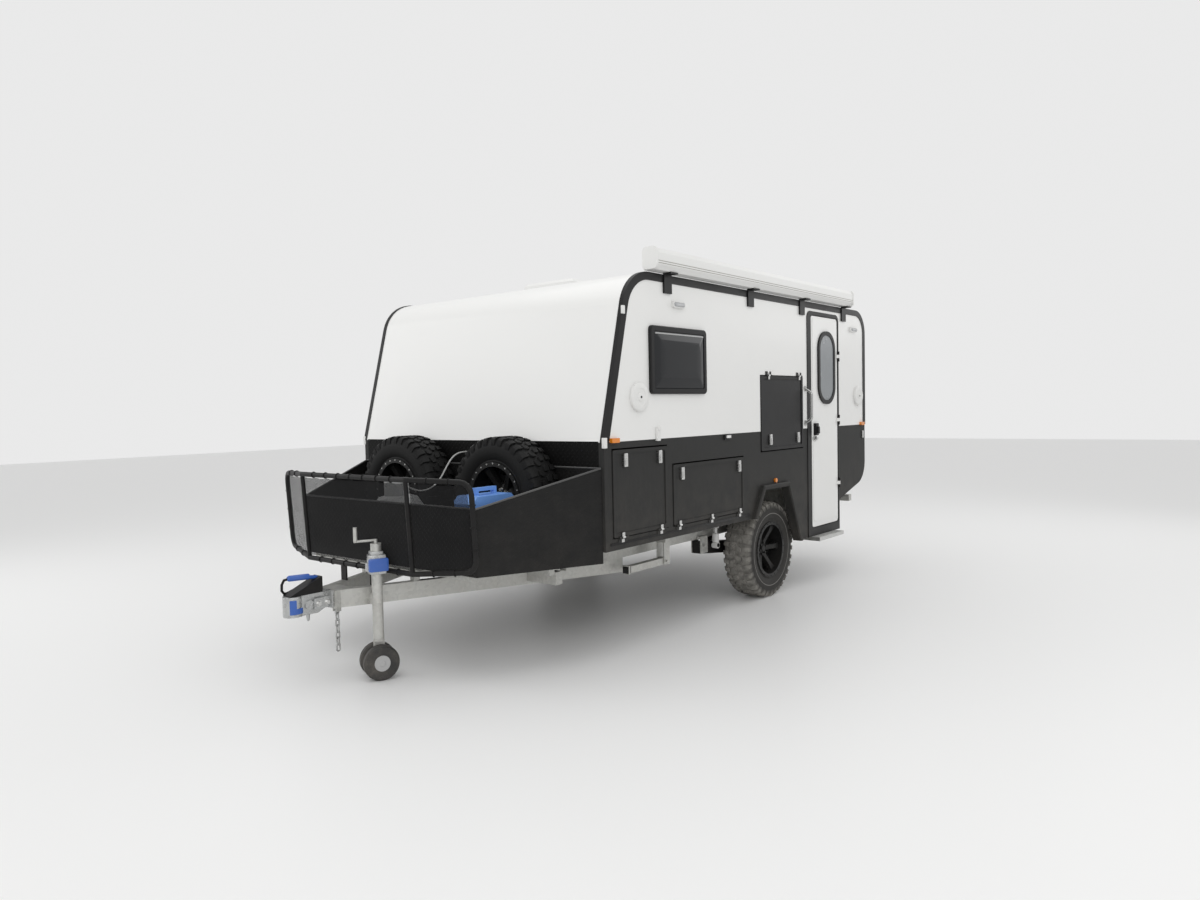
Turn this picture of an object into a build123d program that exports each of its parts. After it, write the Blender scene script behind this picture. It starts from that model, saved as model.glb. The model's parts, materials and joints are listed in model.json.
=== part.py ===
from build123d import *
import os
from math import hypot, pi, radians, sin, tan

os.makedirs("parts", exist_ok=True)

# Off-road camper trailer, millimetres. +X runs forward to the coupling, +Y to the door side, Z = 0 is the
# ground.
# Places along the body are measured back from its front edge, and heights up from its lower edge.

# Body
body_length = 3870.0
body_width = 2300.0
body_height = 1674.0
body_clearance = 658.0  # lower edge of the body above the ground
wall = 40.0  # composite panel thickness
band_height = 644.0  # top of the dark lower panels
knuckle_height = band_height + 6.0  # where the vertical front starts to rake back
rake_angle = 14.3  # of the front sheet, from the vertical
front_radius = 270.0
rear_radius = 200.0
tail_length = 570.0  # where the underside rises towards the rear
tail_rise = 150.0
tail_radius = 205.0
trim_width = 45.0
trim_thickness = 5.0
trim_lip = 26.0

upper_height = body_height - band_height
tail_start = body_length - tail_length

# Door section, arch and wheels
door_width = 617.0
door_start = tail_start - door_width - 16.0
skirt_drop = 260.0  # door section below the body's lower edge
axle_back = door_start - 538.0
arch_front = axle_back - 356.0
arch_top_front = axle_back - 234.0
arch_top_rear = axle_back + 143.0
arch_rear = axle_back + 343.0
arch_height = 200.0
flare_width = 38.0
flare_depth = 34.0
liner_front = axle_back - 429.0
liner_rear = axle_back + 431.0
liner_taper = 90.0
liner_height = 215.0
liner_thickness = 6.0
pitch_count = 16
lug_depth, lug_width = 13.0, 42.0
tyre_diameter = 745.0
tyre_width = 230.0
wheel_track = 1970.0
rim_radius = 203.0
rim_width = 214.0
stub_radius = 30.0
running_fit = 0.05
seat_gap = 0.3

# Doors and lockers
hatch_gap = 6.0  # at hinge and sides
free_gap = 9.0  # at the edge that swings
hatch_rim = 24.0
hatch_proud = 5.0
front_hatch_start, front_hatch_length = 70.0, 573.0
front_hatch_low, front_hatch_high = 68.0, 604.0
mid_hatch_start = front_hatch_start + front_hatch_length + 55.0
mid_hatch_length = arch_front - 156.0 - mid_hatch_start
mid_hatch_low, mid_hatch_high = 68.0, 478.0
rear_hatch_start, rear_hatch_length = axle_back - 253.0, 712.0
rear_hatch_low, rear_hatch_high = band_height - 158.0, band_height + 0.4126 * upper_height
hinge_radius = 7.0
hinge_pin = 3.0
hinge_offset = 9.0  # hinge axis outside the wall's face
hinge_leaf = 30.0
knuckle_length = 28.0
latch_width, latch_height, latch_depth = 34.0, 78.0, 16.0
door_top = body_height - 68.0
door_post, door_jamb, door_head, door_sill = 70.0, 18.0, 30.0, 68.0
door_proud = 6.0
door_radius = 60.0
door_hinge_radius = 8.0
door_window_start, door_window_width = door_start + 190.0, 333.0
door_window_low, door_window_high = band_height + 0.1893 * upper_height, band_height + 0.7854 * upper_height
door_handle_in, door_handle_height = 136.0, 645.0
window_start, window_length = 459.0, 644.0
window_low, window_high = band_height + 0.273 * upper_height, band_height + 0.688 * upper_height
window_rim = 34.0
window_proud = 22.0
window_radius = 30.0
window_inner_radius = 14.0
pane_thickness = 8.0
well_depth = 300.0  # entry well, inwards from the wall
well_plate = 12.0

# Chassis
rail_depth = 150.0
rail_width = 50.0
rail_spread = 1600.0  # across the outsides of the main rails
cross_depth = 80.0
drawbar_reach = 1380.0  # body front to coupling nose
drawbar_depth = 100.0
drawbar_width = 50.0
drawbar_tail = 620.0  # how far the A-frame runs back under the body
apex_reach = 1090.0  # body front to the A-frame's nose
apex_half = 62.0
arm_pivot_back = axle_back - 569.0
arm_width = 70.0
arm_height = 92.0
spring_radius = 52.0
spring_wire = 8.0
spring_height = 150.0
damper_radius = 26.0
leg_back = drawbar_tail + 305.0
leg_length = 415.0
leg_section = 45.0
leg_half = rail_spread / 2 + 100.0
bumper_overhang = 40.0  # past the body's rear
bumper_section = 60.0
bumper_half = 1000.0

# Coupling
coupling_height = 451.0
coupling_half = 40.0
pin_bore = 13.5
head_radius = 52.0
chain_wire = 5.5
chain_pitch = 36.0
chain_links = 7

# Jack
jack_back = 905.0  # from the body's front, forward to the jack's pivot
jack_standoff = 98.0
jack_tube = 30.0
jack_top = 330.0  # tube above its pivot
jack_wheel_radius = 100.0
jack_wheel_width = 52.0
jack_wheel_space = 34.0
jack_axle = 10.0

# Crate, stone guard and what they hold
crate_reach = 711.0
crate_half_front = 818.0
crate_half_rear = body_width / 2 - 19.0
crate_drop = 66.0
crate_front_top = 310.0
crate_rear_top = 494.0
crate_plate = 6.0
guard_reach = 929.0
guard_lean = 32.0
guard_half = 504.0
guard_low, guard_high = -48.0, 476.0
wing_reach = 804.0
wing_half = 890.0
wing_low, wing_high = -16.0, 466.0
guard_tube = 15.0
guard_bend = 70.0
bend_steps = 4
mesh_thickness = 3.0
spare_half = 475.0
bottle_radius, bottle_height = 152.0, 420.0
bottle_reach, bottle_side = 540.0, -68.0
can_length, can_width, can_height = 340.0, 165.0, 430.0
can_reach, can_side = 352.0, 612.0
hose_radius = 5.0

# Roof and side fittings
awning_start = 440.0
awning_length = body_length - 2 * awning_start
awning_height, awning_depth = 138.0, 112.0
awning_reach = 85.0
awning_lift = 10.0
awning_groove = 5.0
awning_cap = 16.0
first_bracket, door_bracket = awning_start + 227.0, door_start - 95.0
bracket_places = (first_bracket, first_bracket + 0.56 * (door_bracket - first_bracket), door_bracket,
                  door_start + door_width + 101.0)
bracket_width = 84.0
bracket_drop = 112.0
vent_start, vent_size, vent_frame_height, vent_lid_height = 790.0, 480.0, 62.0, 42.0
cover_radius, cover_depth = 87.0, 16.0
cover_places = (342.0, body_length - 172.0)
cover_level = band_height + 0.2553 * upper_height
lamp_places = (784.0, body_length - 276.0)
lamp_level = body_height - 174.0
marker_places = (90.0, body_length - 85.0)
marker_level = band_height + 9.0
handle_place = door_start - 39.0
handle_low, handle_high = band_height + 43.0, band_height + 0.3155 * upper_height
handle_reach, handle_radius = 58.0, 11.0
step_start, step_length, step_thickness = door_start + 53.0, 480.0, 30.0
step_proud = 78.0
tail_lamp_half, tail_lamp_height, tail_lamp_width = 985.0, 300.0, 110.0

# Derived places
front_x = (body_length + bumper_overhang - drawbar_reach) / 2
rear_x = front_x - body_length
half = body_width / 2
inside = half - wall
floor_z = body_clearance
roof_z = floor_z + body_height
band_z = floor_z + band_height
axle_x = front_x - axle_back
axle_z = tyre_diameter / 2
wheel_y = wheel_track / 2
rail_y = rail_spread / 2
rail_z = floor_z - rail_depth
drawbar_z = rail_z - drawbar_depth
crate_z = floor_z - crate_drop
tail_corner_z = floor_z + tail_rise
rake_top_x = front_x - (body_height - knuckle_height) * tan(radians(rake_angle))
far = 10000.0


def back(distance):
    return front_x - distance


def up(height):
    return floor_z + height


def block(x0, x1, y0, y1, z0, z1, mode=Mode.ADD):
    with Locations(((x0 + x1) / 2, (y0 + y1) / 2, (z0 + z1) / 2)):
        Box(abs(x1 - x0), abs(y1 - y0), abs(z1 - z0), mode=mode)


def side_prism(points, y0, y1, mode=Mode.ADD):
    with BuildSketch(Plane.XZ.offset(-y1)) as face:
        with BuildLine():
            Polyline(*points, close=True)
        make_face()
    extrude(face.sketch, amount=y1 - y0, dir=(0, -1, 0), mode=mode)


def side_panel(x0, x1, z0, z1, radius, y0, y1, mode=Mode.ADD):
    with BuildSketch(Plane.XZ.offset(-y1)) as face:
        with Locations(((x0 + x1) / 2, (z0 + z1) / 2)):
            RectangleRounded(abs(x1 - x0), abs(z1 - z0), radius)
    extrude(face.sketch, amount=y1 - y0, dir=(0, -1, 0), mode=mode)


def rod(start, end, radius, mode=Mode.ADD):
    run = Vector(*end) - Vector(*start)
    with BuildSketch(Plane(origin=start, z_dir=run)) as face:
        Circle(radius)
    extrude(face.sketch, amount=run.length, dir=run, mode=mode)


def mirrored(piece):
    with BuildPart() as other:
        mirror(piece, about=Plane.XZ)
    return other.part


def both_sides(piece):
    with BuildPart() as pair:
        add(piece)
        mirror(piece, about=Plane.XZ)
    return pair.part


def wheel_plane(centre, axis):
    axis = Vector(*axis)
    return Plane(origin=centre, x_dir=axis, z_dir=axis.cross(Vector(0, 0, 1)))


def body_outline():
    corners = [
        (front_x, floor_z),
        (front_x, up(knuckle_height)),
        (rake_top_x, roof_z),
        (rear_x, roof_z),
        (rear_x, tail_corner_z),
        (back(tail_start), floor_z),
    ]
    with BuildSketch() as face:
        with BuildLine():
            Polyline(*corners, close=True)
        make_face()
        fillet(face.vertices().sort_by_distance(corners[2])[0], front_radius)
        fillet(face.vertices().sort_by_distance(corners[3])[0], rear_radius)
        fillet(face.vertices().sort_by_distance(corners[4])[0], tail_radius)
    return face.sketch


outline = body_outline()


def outline_prism(y0, y1, inset=0.0, mode=Mode.ADD):
    with BuildSketch(Plane.XZ.offset(-y1)) as face:
        add(outline)
        if inset:
            offset(amount=-inset, kind=Kind.INTERSECTION, mode=Mode.REPLACE)
    extrude(face.sketch, amount=y1 - y0, dir=(0, -1, 0), mode=mode)


def keep(x0, x1, z0, z1):
    block(x0, x1, -far, far, z0, z1, mode=Mode.INTERSECT)


def body_shell(x0, x1, z0, z1):
    with BuildPart() as shell:
        outline_prism(-inside, inside)
        outline_prism(-inside, inside, wall, mode=Mode.SUBTRACT)
        keep(x0, x1, z0, z1)
    return shell.part


pieces = {}

# Body panels between the side walls
pieces["front_panel"] = body_shell(front_x - wall, far, floor_z, up(knuckle_height))
pieces["rear_panel_lower"] = body_shell(-far, back(tail_start), 0, band_z)
pieces["rear_panel_upper"] = body_shell(-far, rear_x + wall, band_z, roof_z - rear_radius)

with BuildPart() as roof_sheet:
    outline_prism(-inside, inside)
    outline_prism(-inside, inside, wall, mode=Mode.SUBTRACT)
    keep(-far, far, up(knuckle_height), far)
    block(-far, back(body_length / 2), -far, far, 0, roof_z - rear_radius, mode=Mode.SUBTRACT)
    vent_mid = back(vent_start + vent_size / 2)
    vent_hole = vent_size - 2 * wall
    with Locations((vent_mid, 0, roof_z - wall / 2)):
        Box(vent_hole, vent_hole, 2 * wall, mode=Mode.SUBTRACT)
pieces["roof_sheet"] = roof_sheet.part

# Floor with wheel-arch notches and the entry well
liner_in = wheel_y - tyre_width / 2 - 40
well_front = back(door_start - well_plate)
well_rear = back(door_start + door_width + well_plate)
well_y = inside - well_depth
with BuildPart() as floor_panel:
    block(back(tail_start), front_x - wall, -inside, inside, floor_z, floor_z + wall)
    for side in (1, -1):
        block(back(liner_rear), back(liner_front), side * liner_in, side * half, floor_z - wall,
              floor_z + 2 * wall,
              mode=Mode.SUBTRACT)
    block(well_rear, well_front, well_y, half, floor_z - wall, floor_z + 2 * wall, mode=Mode.SUBTRACT)
    block(well_rear, well_front, well_y, inside, floor_z - skirt_drop, floor_z + wall)
    block(well_rear + well_plate, well_front - well_plate, well_y + well_plate, half,
          floor_z - skirt_drop + well_plate, floor_z + 2 * wall, mode=Mode.SUBTRACT)
pieces["floor_panel"] = floor_panel.part

arch_points = [
    (back(arch_front), 0),
    (back(arch_front), floor_z),
    (back(arch_top_front), up(arch_height)),
    (back(arch_top_rear), up(arch_height)),
    (back(arch_rear), floor_z - skirt_drop),
    (back(arch_rear), 0),
]


def hatch_hole(start, length, low, high):
    block(back(start + length), back(start), 0, far, up(low), up(high), mode=Mode.SUBTRACT)


def door_hole():
    side_panel(back(door_start + door_width), back(door_start), floor_z - skirt_drop - 2 * door_radius,
               up(door_top),
               door_radius, 0, far, mode=Mode.SUBTRACT)


def window_hole():
    side_panel(back(window_start + window_length) + window_rim / 2, back(window_start) - window_rim / 2,
               up(window_low) + window_rim / 2, up(window_high) - window_rim / 2, window_inner_radius,
               0, far, mode=Mode.SUBTRACT)


def upper_wall(door_side):
    with BuildPart() as panel:
        outline_prism(inside, half)
        keep(-far, far, band_z, far)
        window_hole()
        if door_side:
            hatch_hole(rear_hatch_start, rear_hatch_length, rear_hatch_low, rear_hatch_high)
            door_hole()
    return panel.part


def lower_wall(door_side):
    with BuildPart() as panel:
        outline_prism(inside, half)
        keep(-far, far, 0, band_z)
        if door_side:
            block(back(door_start), back(arch_top_rear), inside, half, floor_z - skirt_drop, floor_z)
        else:
            block(back(arch_rear + wall), back(arch_top_rear), inside, half, floor_z - skirt_drop, floor_z)
        side_prism(arch_points, 0, far, mode=Mode.SUBTRACT)
        hatch_hole(front_hatch_start, front_hatch_length, front_hatch_low, front_hatch_high)
        if door_side:
            hatch_hole(mid_hatch_start, mid_hatch_length, mid_hatch_low, mid_hatch_high)
            hatch_hole(rear_hatch_start, rear_hatch_length, rear_hatch_low, rear_hatch_high)
            door_hole()
    return panel.part


pieces["wall_left_upper"] = upper_wall(True)
pieces["wall_left_lower"] = lower_wall(True)
pieces["wall_right_upper"] = mirrored(upper_wall(False))
pieces["wall_right_lower"] = mirrored(lower_wall(False))

# Black edge trim, an angle section round each side from the knuckle over the roof to the tail
with BuildPart() as trim:
    with BuildSketch(Plane.XZ.offset(-(half + trim_thickness))) as rim_face:
        add(outline)
        offset(amount=trim_thickness, kind=Kind.INTERSECTION, mode=Mode.REPLACE)
    extrude(rim_face.sketch, amount=trim_thickness + trim_lip, dir=(0, -1, 0))
    outline_prism(0, half, mode=Mode.SUBTRACT)
    outline_prism(0, far, trim_width, mode=Mode.SUBTRACT)
    keep(-far, far, band_z, far)
pieces["edge_trim"] = both_sides(trim.part)

# Wheel arches: sheet liner inside, flare outside
liner_outer = [
    (back(liner_front), floor_z),
    (back(liner_front + liner_taper), up(liner_height)),
    (back(liner_rear - liner_taper), up(liner_height)),
    (back(liner_rear), floor_z),
    (back(liner_rear), floor_z - skirt_drop),
]
liner_inner = [
    (back(liner_front + liner_thickness), 0),
    (back(liner_front + liner_thickness), floor_z),
    (back(liner_front + liner_taper + liner_thickness), up(liner_height) - liner_thickness),
    (back(liner_rear - liner_taper - liner_thickness), up(liner_height) - liner_thickness),
    (back(liner_rear - liner_thickness), floor_z),
    (back(liner_rear - liner_thickness), 0),
]
with BuildPart() as liner:
    side_prism(liner_outer, liner_in, inside)
    side_prism(liner_inner, liner_in + liner_thickness, far, mode=Mode.SUBTRACT)
pieces["arch_liners"] = both_sides(liner.part)

with BuildPart() as flare:
    side_prism([(back(arch_front - 1.16 * flare_width), floor_z),
                (back(arch_top_front - 0.58 * flare_width), up(arch_height) + flare_width),
                (back(arch_top_rear + 0.66 * flare_width), up(arch_height) + flare_width),
                (back(arch_rear + 1.09 * flare_width), floor_z - skirt_drop), (back(arch_rear),
                                                                               floor_z - skirt_drop),
                (back(arch_top_rear), up(arch_height)), (back(arch_top_front), up(arch_height)),
                (back(arch_front), floor_z)], half, half + flare_depth)
    crest = flare.faces().sort_by(Axis.Y)[-1].outer_wire().edges()
    chamfer(crest.filter_by(lambda edge: edge.length > 2 * flare_width), flare_depth / 4)
pieces["arch_flares"] = both_sides(flare.part)


# Side windows: frame on the wall, pane inside the frame
def window_shape(inset, y0, y1, mode=Mode.ADD):
    radius = window_inner_radius if inset else window_radius
    side_panel(back(window_start + window_length) + inset, back(window_start) - inset,
               up(window_low) + inset,
               up(window_high) - inset, radius, y0, y1, mode)


with BuildPart() as window_frame:
    window_shape(0, half, half + window_proud)
    window_shape(window_rim, 0, far, mode=Mode.SUBTRACT)
    fillet(window_frame.faces().sort_by(Axis.Y)[-1].outer_wire().edges(), window_proud / 3)
pieces["window_frames"] = both_sides(window_frame.part)

with BuildPart() as window_pane:
    window_shape(window_rim + seat_gap, half, half + pane_thickness)
    window_shape(window_rim + 3 * pane_thickness, half, half + window_proud)
pieces["window_panes"] = both_sides(window_pane.part)


# Hinges: knuckles and pin on the wall, a bored knuckle on the leaf. A hinge lies along X at height z.
def wall_hinge(x, z, down):
    y = half + hinge_offset
    for end in (-1, 1):
        middle = x + end * (knuckle_length + 1)
        rod((middle - knuckle_length / 2, y, z), (middle + knuckle_length / 2, y, z), hinge_radius)
        block(middle - knuckle_length / 2, middle + knuckle_length / 2, half, half + hinge_offset / 2,
              min(z, z - down * hinge_leaf), max(z, z - down * hinge_leaf))
    rod((x - 1.4 * knuckle_length, y, z), (x + 1.4 * knuckle_length, y, z), hinge_pin)


def leaf_hinge(x, z, up_side):
    y = half + hinge_offset
    rod((x - knuckle_length / 2, y, z), (x + knuckle_length / 2, y, z), hinge_radius)
    block(x - knuckle_length / 2, x + knuckle_length / 2, half, half + hinge_offset / 2 + 3,
          min(z + up_side * hatch_gap / 2, z + up_side * hinge_leaf),
          max(z + up_side * hatch_gap / 2, z + up_side * hinge_leaf))
    block(x - knuckle_length / 2, x + knuckle_length / 2, half + hinge_offset / 2, half + hinge_offset,
          min(z, z + up_side * hinge_leaf / 2), max(z, z + up_side * hinge_leaf / 2))
    rod((x - knuckle_length, y, z), (x + knuckle_length, y, z), hinge_pin + running_fit, mode=Mode.SUBTRACT)


def latch(x, z):
    side_panel(x - latch_width / 2, x + latch_width / 2, z - latch_height / 2, z + latch_height / 2,
               latch_width / 3,
               half, half + latch_depth)


def hatch(start, length, low, high, hinges, latches, latch_drop, hinged_low):
    low_gap = hatch_gap if hinged_low else free_gap
    high_gap = free_gap if hinged_low else hatch_gap
    x0, x1 = back(start + length) + hatch_gap, back(start) - hatch_gap
    z0, z1 = up(low) + low_gap, up(high) - high_gap
    with BuildPart() as leaf:
        side_panel(x0, x1, z0, z1, hatch_rim / 2, inside, half)
        side_panel(x0, x1, z0, z1, hatch_rim / 2, half, half + hatch_proud)
        side_panel(x0 + hatch_rim, x1 - hatch_rim, z0 + hatch_rim, z1 - hatch_rim, hatch_rim / 2, half, far,
                   mode=Mode.SUBTRACT)
        for place in hinges:
            axis_z = up(low) + hatch_gap / 2 if hinged_low else up(high) - hatch_gap / 2
            rod((back(place) - 1.6 * knuckle_length, half + hinge_offset, axis_z),
                (back(place) + 1.6 * knuckle_length, half + hinge_offset, axis_z), hinge_radius + 1.5,
                mode=Mode.SUBTRACT)
            leaf_hinge(back(place), axis_z, 1 if hinged_low else -1)
        for place in latches:
            latch(back(place), up(high) - latch_drop if hinged_low else up(low) + latch_drop)
    return leaf.part


front_hinges, front_latches, front_latch_drop = (161.0, 561.0), (190.0, 547.0), 72.0
mid_hinges = [mid_hatch_start + share * mid_hatch_length for share in (0.08, 0.51, 0.925)]
mid_latches = [mid_hatch_start + share * mid_hatch_length for share in (0.11, 0.91)]
mid_latch_drop = 70.0
rear_hinges = [rear_hatch_start + share * rear_hatch_length for share in (0.177, 0.897)]
rear_latches = [rear_hatch_start + share * rear_hatch_length for share in (0.195, 0.847)]
rear_latch_drop = 92.0
front_hatch = hatch(front_hatch_start, front_hatch_length, front_hatch_low, front_hatch_high, front_hinges,
                    front_latches, front_latch_drop, True)
pieces["hatch_front_left"] = front_hatch
pieces["hatch_front_right"] = mirrored(front_hatch)
pieces["hatch_middle_left"] = hatch(mid_hatch_start, mid_hatch_length, mid_hatch_low, mid_hatch_high,
                                    mid_hinges,
                                    mid_latches, mid_latch_drop, True)
pieces["hatch_rear_left"] = hatch(rear_hatch_start, rear_hatch_length, rear_hatch_low, rear_hatch_high,
                                  rear_hinges,
                                  rear_latches, rear_latch_drop, False)

with BuildPart() as hinges:
    for place in front_hinges:
        wall_hinge(back(place), up(front_hatch_low) + hatch_gap / 2, 1)
    add(mirrored(hinges.part))
    for place in mid_hinges:
        wall_hinge(back(place), up(mid_hatch_low) + hatch_gap / 2, 1)
    for place in rear_hinges:
        wall_hinge(back(place), up(rear_hatch_high) - hatch_gap / 2, -1)
pieces["hatch_hinges"] = hinges.part

# Entry door: frame in the wall, leaf, window. The hinge line is at the rear edge.
leaf_front = back(door_start + door_post) - free_gap
leaf_rear = back(door_start + door_width - door_jamb) + hatch_gap
leaf_low = floor_z - skirt_drop + door_sill + hatch_gap
leaf_high = up(door_top) - door_head - hatch_gap
door_axis_x = leaf_rear - hatch_gap / 2
door_axis_y = half + door_proud + door_hinge_radius + 1
door_hinge_levels = (150.0, 0.436 * door_top, door_top - 356.0)


def door_knuckle(z0, z1):
    rod((door_axis_x, door_axis_y, z0), (door_axis_x, door_axis_y, z1), door_hinge_radius)


with BuildPart() as door_frame:
    side_panel(back(door_start + door_width), back(door_start), floor_z - skirt_drop - 2 * door_radius,
               up(door_top),
               door_radius, inside, half + door_proud)
    block(-far, far, 0, far, 0, floor_z - skirt_drop, mode=Mode.SUBTRACT)
    side_panel(leaf_rear - hatch_gap, leaf_front + free_gap, leaf_low - hatch_gap, leaf_high + hatch_gap,
               door_radius / 2, 0, far, mode=Mode.SUBTRACT)
    for level in door_hinge_levels:
        for end in (-1, 1):
            middle = up(level) + end * (knuckle_length + 1)
            door_knuckle(middle - knuckle_length / 2, middle + knuckle_length / 2)
            block(door_axis_x - door_jamb, door_axis_x - 1, half, door_axis_y, middle - knuckle_length / 2,
                  middle + knuckle_length / 2)
        rod((door_axis_x, door_axis_y, up(level) - 1.4 * knuckle_length),
            (door_axis_x, door_axis_y, up(level) + 1.4 * knuckle_length), hinge_pin)
pieces["door_frame"] = door_frame.part


def door_glass(inset, y0, y1, mode=Mode.ADD):
    side_panel(back(door_window_start + door_window_width) + inset, back(door_window_start) - inset,
               up(door_window_low) + inset, up(door_window_high) - inset,
               door_window_width / 2 - inset - 12, y0, y1,
               mode)


skin = 4.0
handle_x = back(door_start + door_handle_in)
handle_z = up(door_handle_height)
with BuildPart() as door_leaf:
    side_panel(leaf_rear, leaf_front, leaf_low, leaf_high, door_radius / 2, inside, half)
    side_panel(leaf_rear + 12, leaf_front - 24, leaf_low + 46, leaf_high - 14, door_radius / 2, half,
               half + skin)
    door_glass(window_rim / 2, 0, far, mode=Mode.SUBTRACT)
    for level in door_hinge_levels:
        z0, z1 = up(level) - knuckle_length / 2, up(level) + knuckle_length / 2
        door_knuckle(z0, z1)
        block(door_axis_x + 1, leaf_rear + hinge_leaf, half, door_axis_y, z0, z1)
        rod((door_axis_x, door_axis_y, z0 - 1), (door_axis_x, door_axis_y, z1 + 1), hinge_pin + running_fit,
            mode=Mode.SUBTRACT)
    side_panel(handle_x - 26, handle_x + 26, handle_z - 62, handle_z + 34, 16, half, half + 26)
pieces["door_leaf"] = door_leaf.part

with BuildPart() as door_window:
    door_glass(0, half + skin, half + skin + 14)
    door_glass(window_rim, 0, far, mode=Mode.SUBTRACT)
pieces["door_window_frame"] = door_window.part

with BuildPart() as door_pane:
    door_glass(window_rim + seat_gap, half, half + skin + pane_thickness)
pieces["door_pane"] = door_pane.part

# Roof vent: frame on the roof, lid hinged at its rear edge
vent_rear = back(vent_start + vent_size)
vent_top = roof_z + vent_frame_height
vent_axis_x = vent_rear - hinge_offset
vent_axis_z = vent_top + hinge_offset
vent_hinge_half = 150.0
with BuildPart() as vent_frame:
    with BuildSketch(Plane.XY.offset(roof_z)):
        with Locations((vent_mid, 0)):
            RectangleRounded(vent_size, vent_size, 40)
            Rectangle(vent_hole, vent_hole, mode=Mode.SUBTRACT)
    extrude(amount=vent_frame_height)
    for side in (1, -1):
        for end in (-1, 1):
            y = side * vent_hinge_half + end * (knuckle_length + 1)
            rod((vent_axis_x, y - knuckle_length / 2, vent_axis_z), (vent_axis_x, y + knuckle_length / 2,
                                                                     vent_axis_z),
                hinge_radius)
            block(vent_axis_x - hinge_radius, vent_rear + 2, y - knuckle_length / 2, y + knuckle_length / 2,
                  roof_z,
                  vent_top)
            block(vent_axis_x - hinge_radius, vent_axis_x, y - knuckle_length / 2, y + knuckle_length / 2,
                  roof_z,
                  vent_axis_z)
        rod((vent_axis_x, side * vent_hinge_half - 1.4 * knuckle_length, vent_axis_z),
            (vent_axis_x, side * vent_hinge_half + 1.4 * knuckle_length, vent_axis_z), hinge_pin)
pieces["vent_frame"] = vent_frame.part

with BuildPart() as vent_lid:
    with BuildSketch(Plane.XY.offset(vent_top)):
        with Locations((vent_mid, 0)):
            RectangleRounded(vent_size, vent_size, 40)
    extrude(amount=vent_lid_height)
    chamfer(vent_lid.faces().sort_by(Axis.Z)[-1].edges(), vent_lid_height / 2)
    for side in (1, -1):
        y0, y1 = side * vent_hinge_half - knuckle_length / 2, side * vent_hinge_half + knuckle_length / 2
        rod((vent_axis_x, y0, vent_axis_z), (vent_axis_x, y1, vent_axis_z), hinge_radius)
        block(vent_axis_x, vent_rear + hinge_leaf, y0, y1, vent_top + 1, vent_axis_z + 2)
        rod((vent_axis_x, y0 - 1, vent_axis_z), (vent_axis_x, y1 + 1, vent_axis_z), hinge_pin + running_fit,
            mode=Mode.SUBTRACT)
pieces["vent_lid"] = vent_lid.part

# Awning cassette above the roof's edge on its brackets
awning_z = roof_z + trim_thickness + awning_lift
awning_y = half + trim_thickness + awning_reach
with BuildPart() as awning:
    with BuildSketch(Plane.YZ.offset(back(awning_start + awning_length) + awning_cap)) as section:
        with BuildLine():
            Polyline((awning_y - awning_depth, awning_z), (awning_y - 0.3 * awning_depth, awning_z),
                     (awning_y - awning_groove, awning_z + 0.22 * awning_height),
                     (awning_y - awning_groove, awning_z + 0.72 * awning_height),
                     (awning_y - 0.16 * awning_depth, awning_z + 0.93 * awning_height),
                     (awning_y - 0.4 * awning_depth, awning_z + awning_height - awning_groove),
                     (awning_y - awning_depth, awning_z + awning_height - awning_groove), close=True)
        make_face()
        for share in (0.27, 0.37):
            with Locations((awning_y - awning_groove, awning_z + share * awning_height)):
                Rectangle(2 * awning_groove, awning_groove, mode=Mode.SUBTRACT)
    extrude(amount=awning_length - 2 * awning_cap)
    for end in (back(awning_start + awning_length), back(awning_start) - awning_cap):
        with BuildSketch(Plane.YZ.offset(end)) as cap:
            with Locations((awning_y - awning_depth / 2, awning_z + awning_height / 2)):
                RectangleRounded(awning_depth, awning_height, 30)
        extrude(cap.sketch, amount=awning_cap)
pieces["awning_cassette"] = awning.part

with BuildPart() as brackets:
    for place in bracket_places:
        x0, x1 = back(place) - bracket_width / 2, back(place) + bracket_width / 2
        block(x0, x1, half + trim_thickness, half + trim_thickness + 9, roof_z - bracket_drop, awning_z)
        block(x0, x1, half, half + trim_thickness + 9, roof_z - bracket_drop, roof_z - trim_width - 2)
        block(x0, x1, awning_y - awning_depth + 26, awning_y - 26, awning_z - awning_lift + 1, awning_z)
pieces["awning_brackets"] = brackets.part

# Small white fittings, lamps and handle
with BuildPart() as fittings:
    for place in cover_places:
        rod((back(place), half, up(cover_level)), (back(place), half + cover_depth, up(cover_level)),
            cover_radius)
    for place in lamp_places:
        side_panel(back(place) - 70, back(place) + 70, up(lamp_level) - 22, up(lamp_level) + 22, 20, half,
                   half + 20)
pieces["wall_fittings"] = fittings.part

with BuildPart() as markers:
    for place in marker_places:
        side_panel(back(place) - 36, back(place) + 36, up(marker_level) - 14, up(marker_level) + 14, 6,
                   half, half + 22)
    add(mirrored(markers.part))
    rod((back(axle_back - 33), half, up(arch_height + flare_width + 22)),
        (back(axle_back - 33), half + 14, up(arch_height + flare_width + 22)), 17)
pieces["marker_lamps"] = markers.part

with BuildPart() as tail_lamps:
    for side in (1, -1):
        block(rear_x - 18, rear_x, side * tail_lamp_half - tail_lamp_width / 2,
              side * tail_lamp_half + tail_lamp_width / 2, band_z - tail_lamp_height - 20, band_z - 20)
pieces["tail_lamps"] = tail_lamps.part

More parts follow.
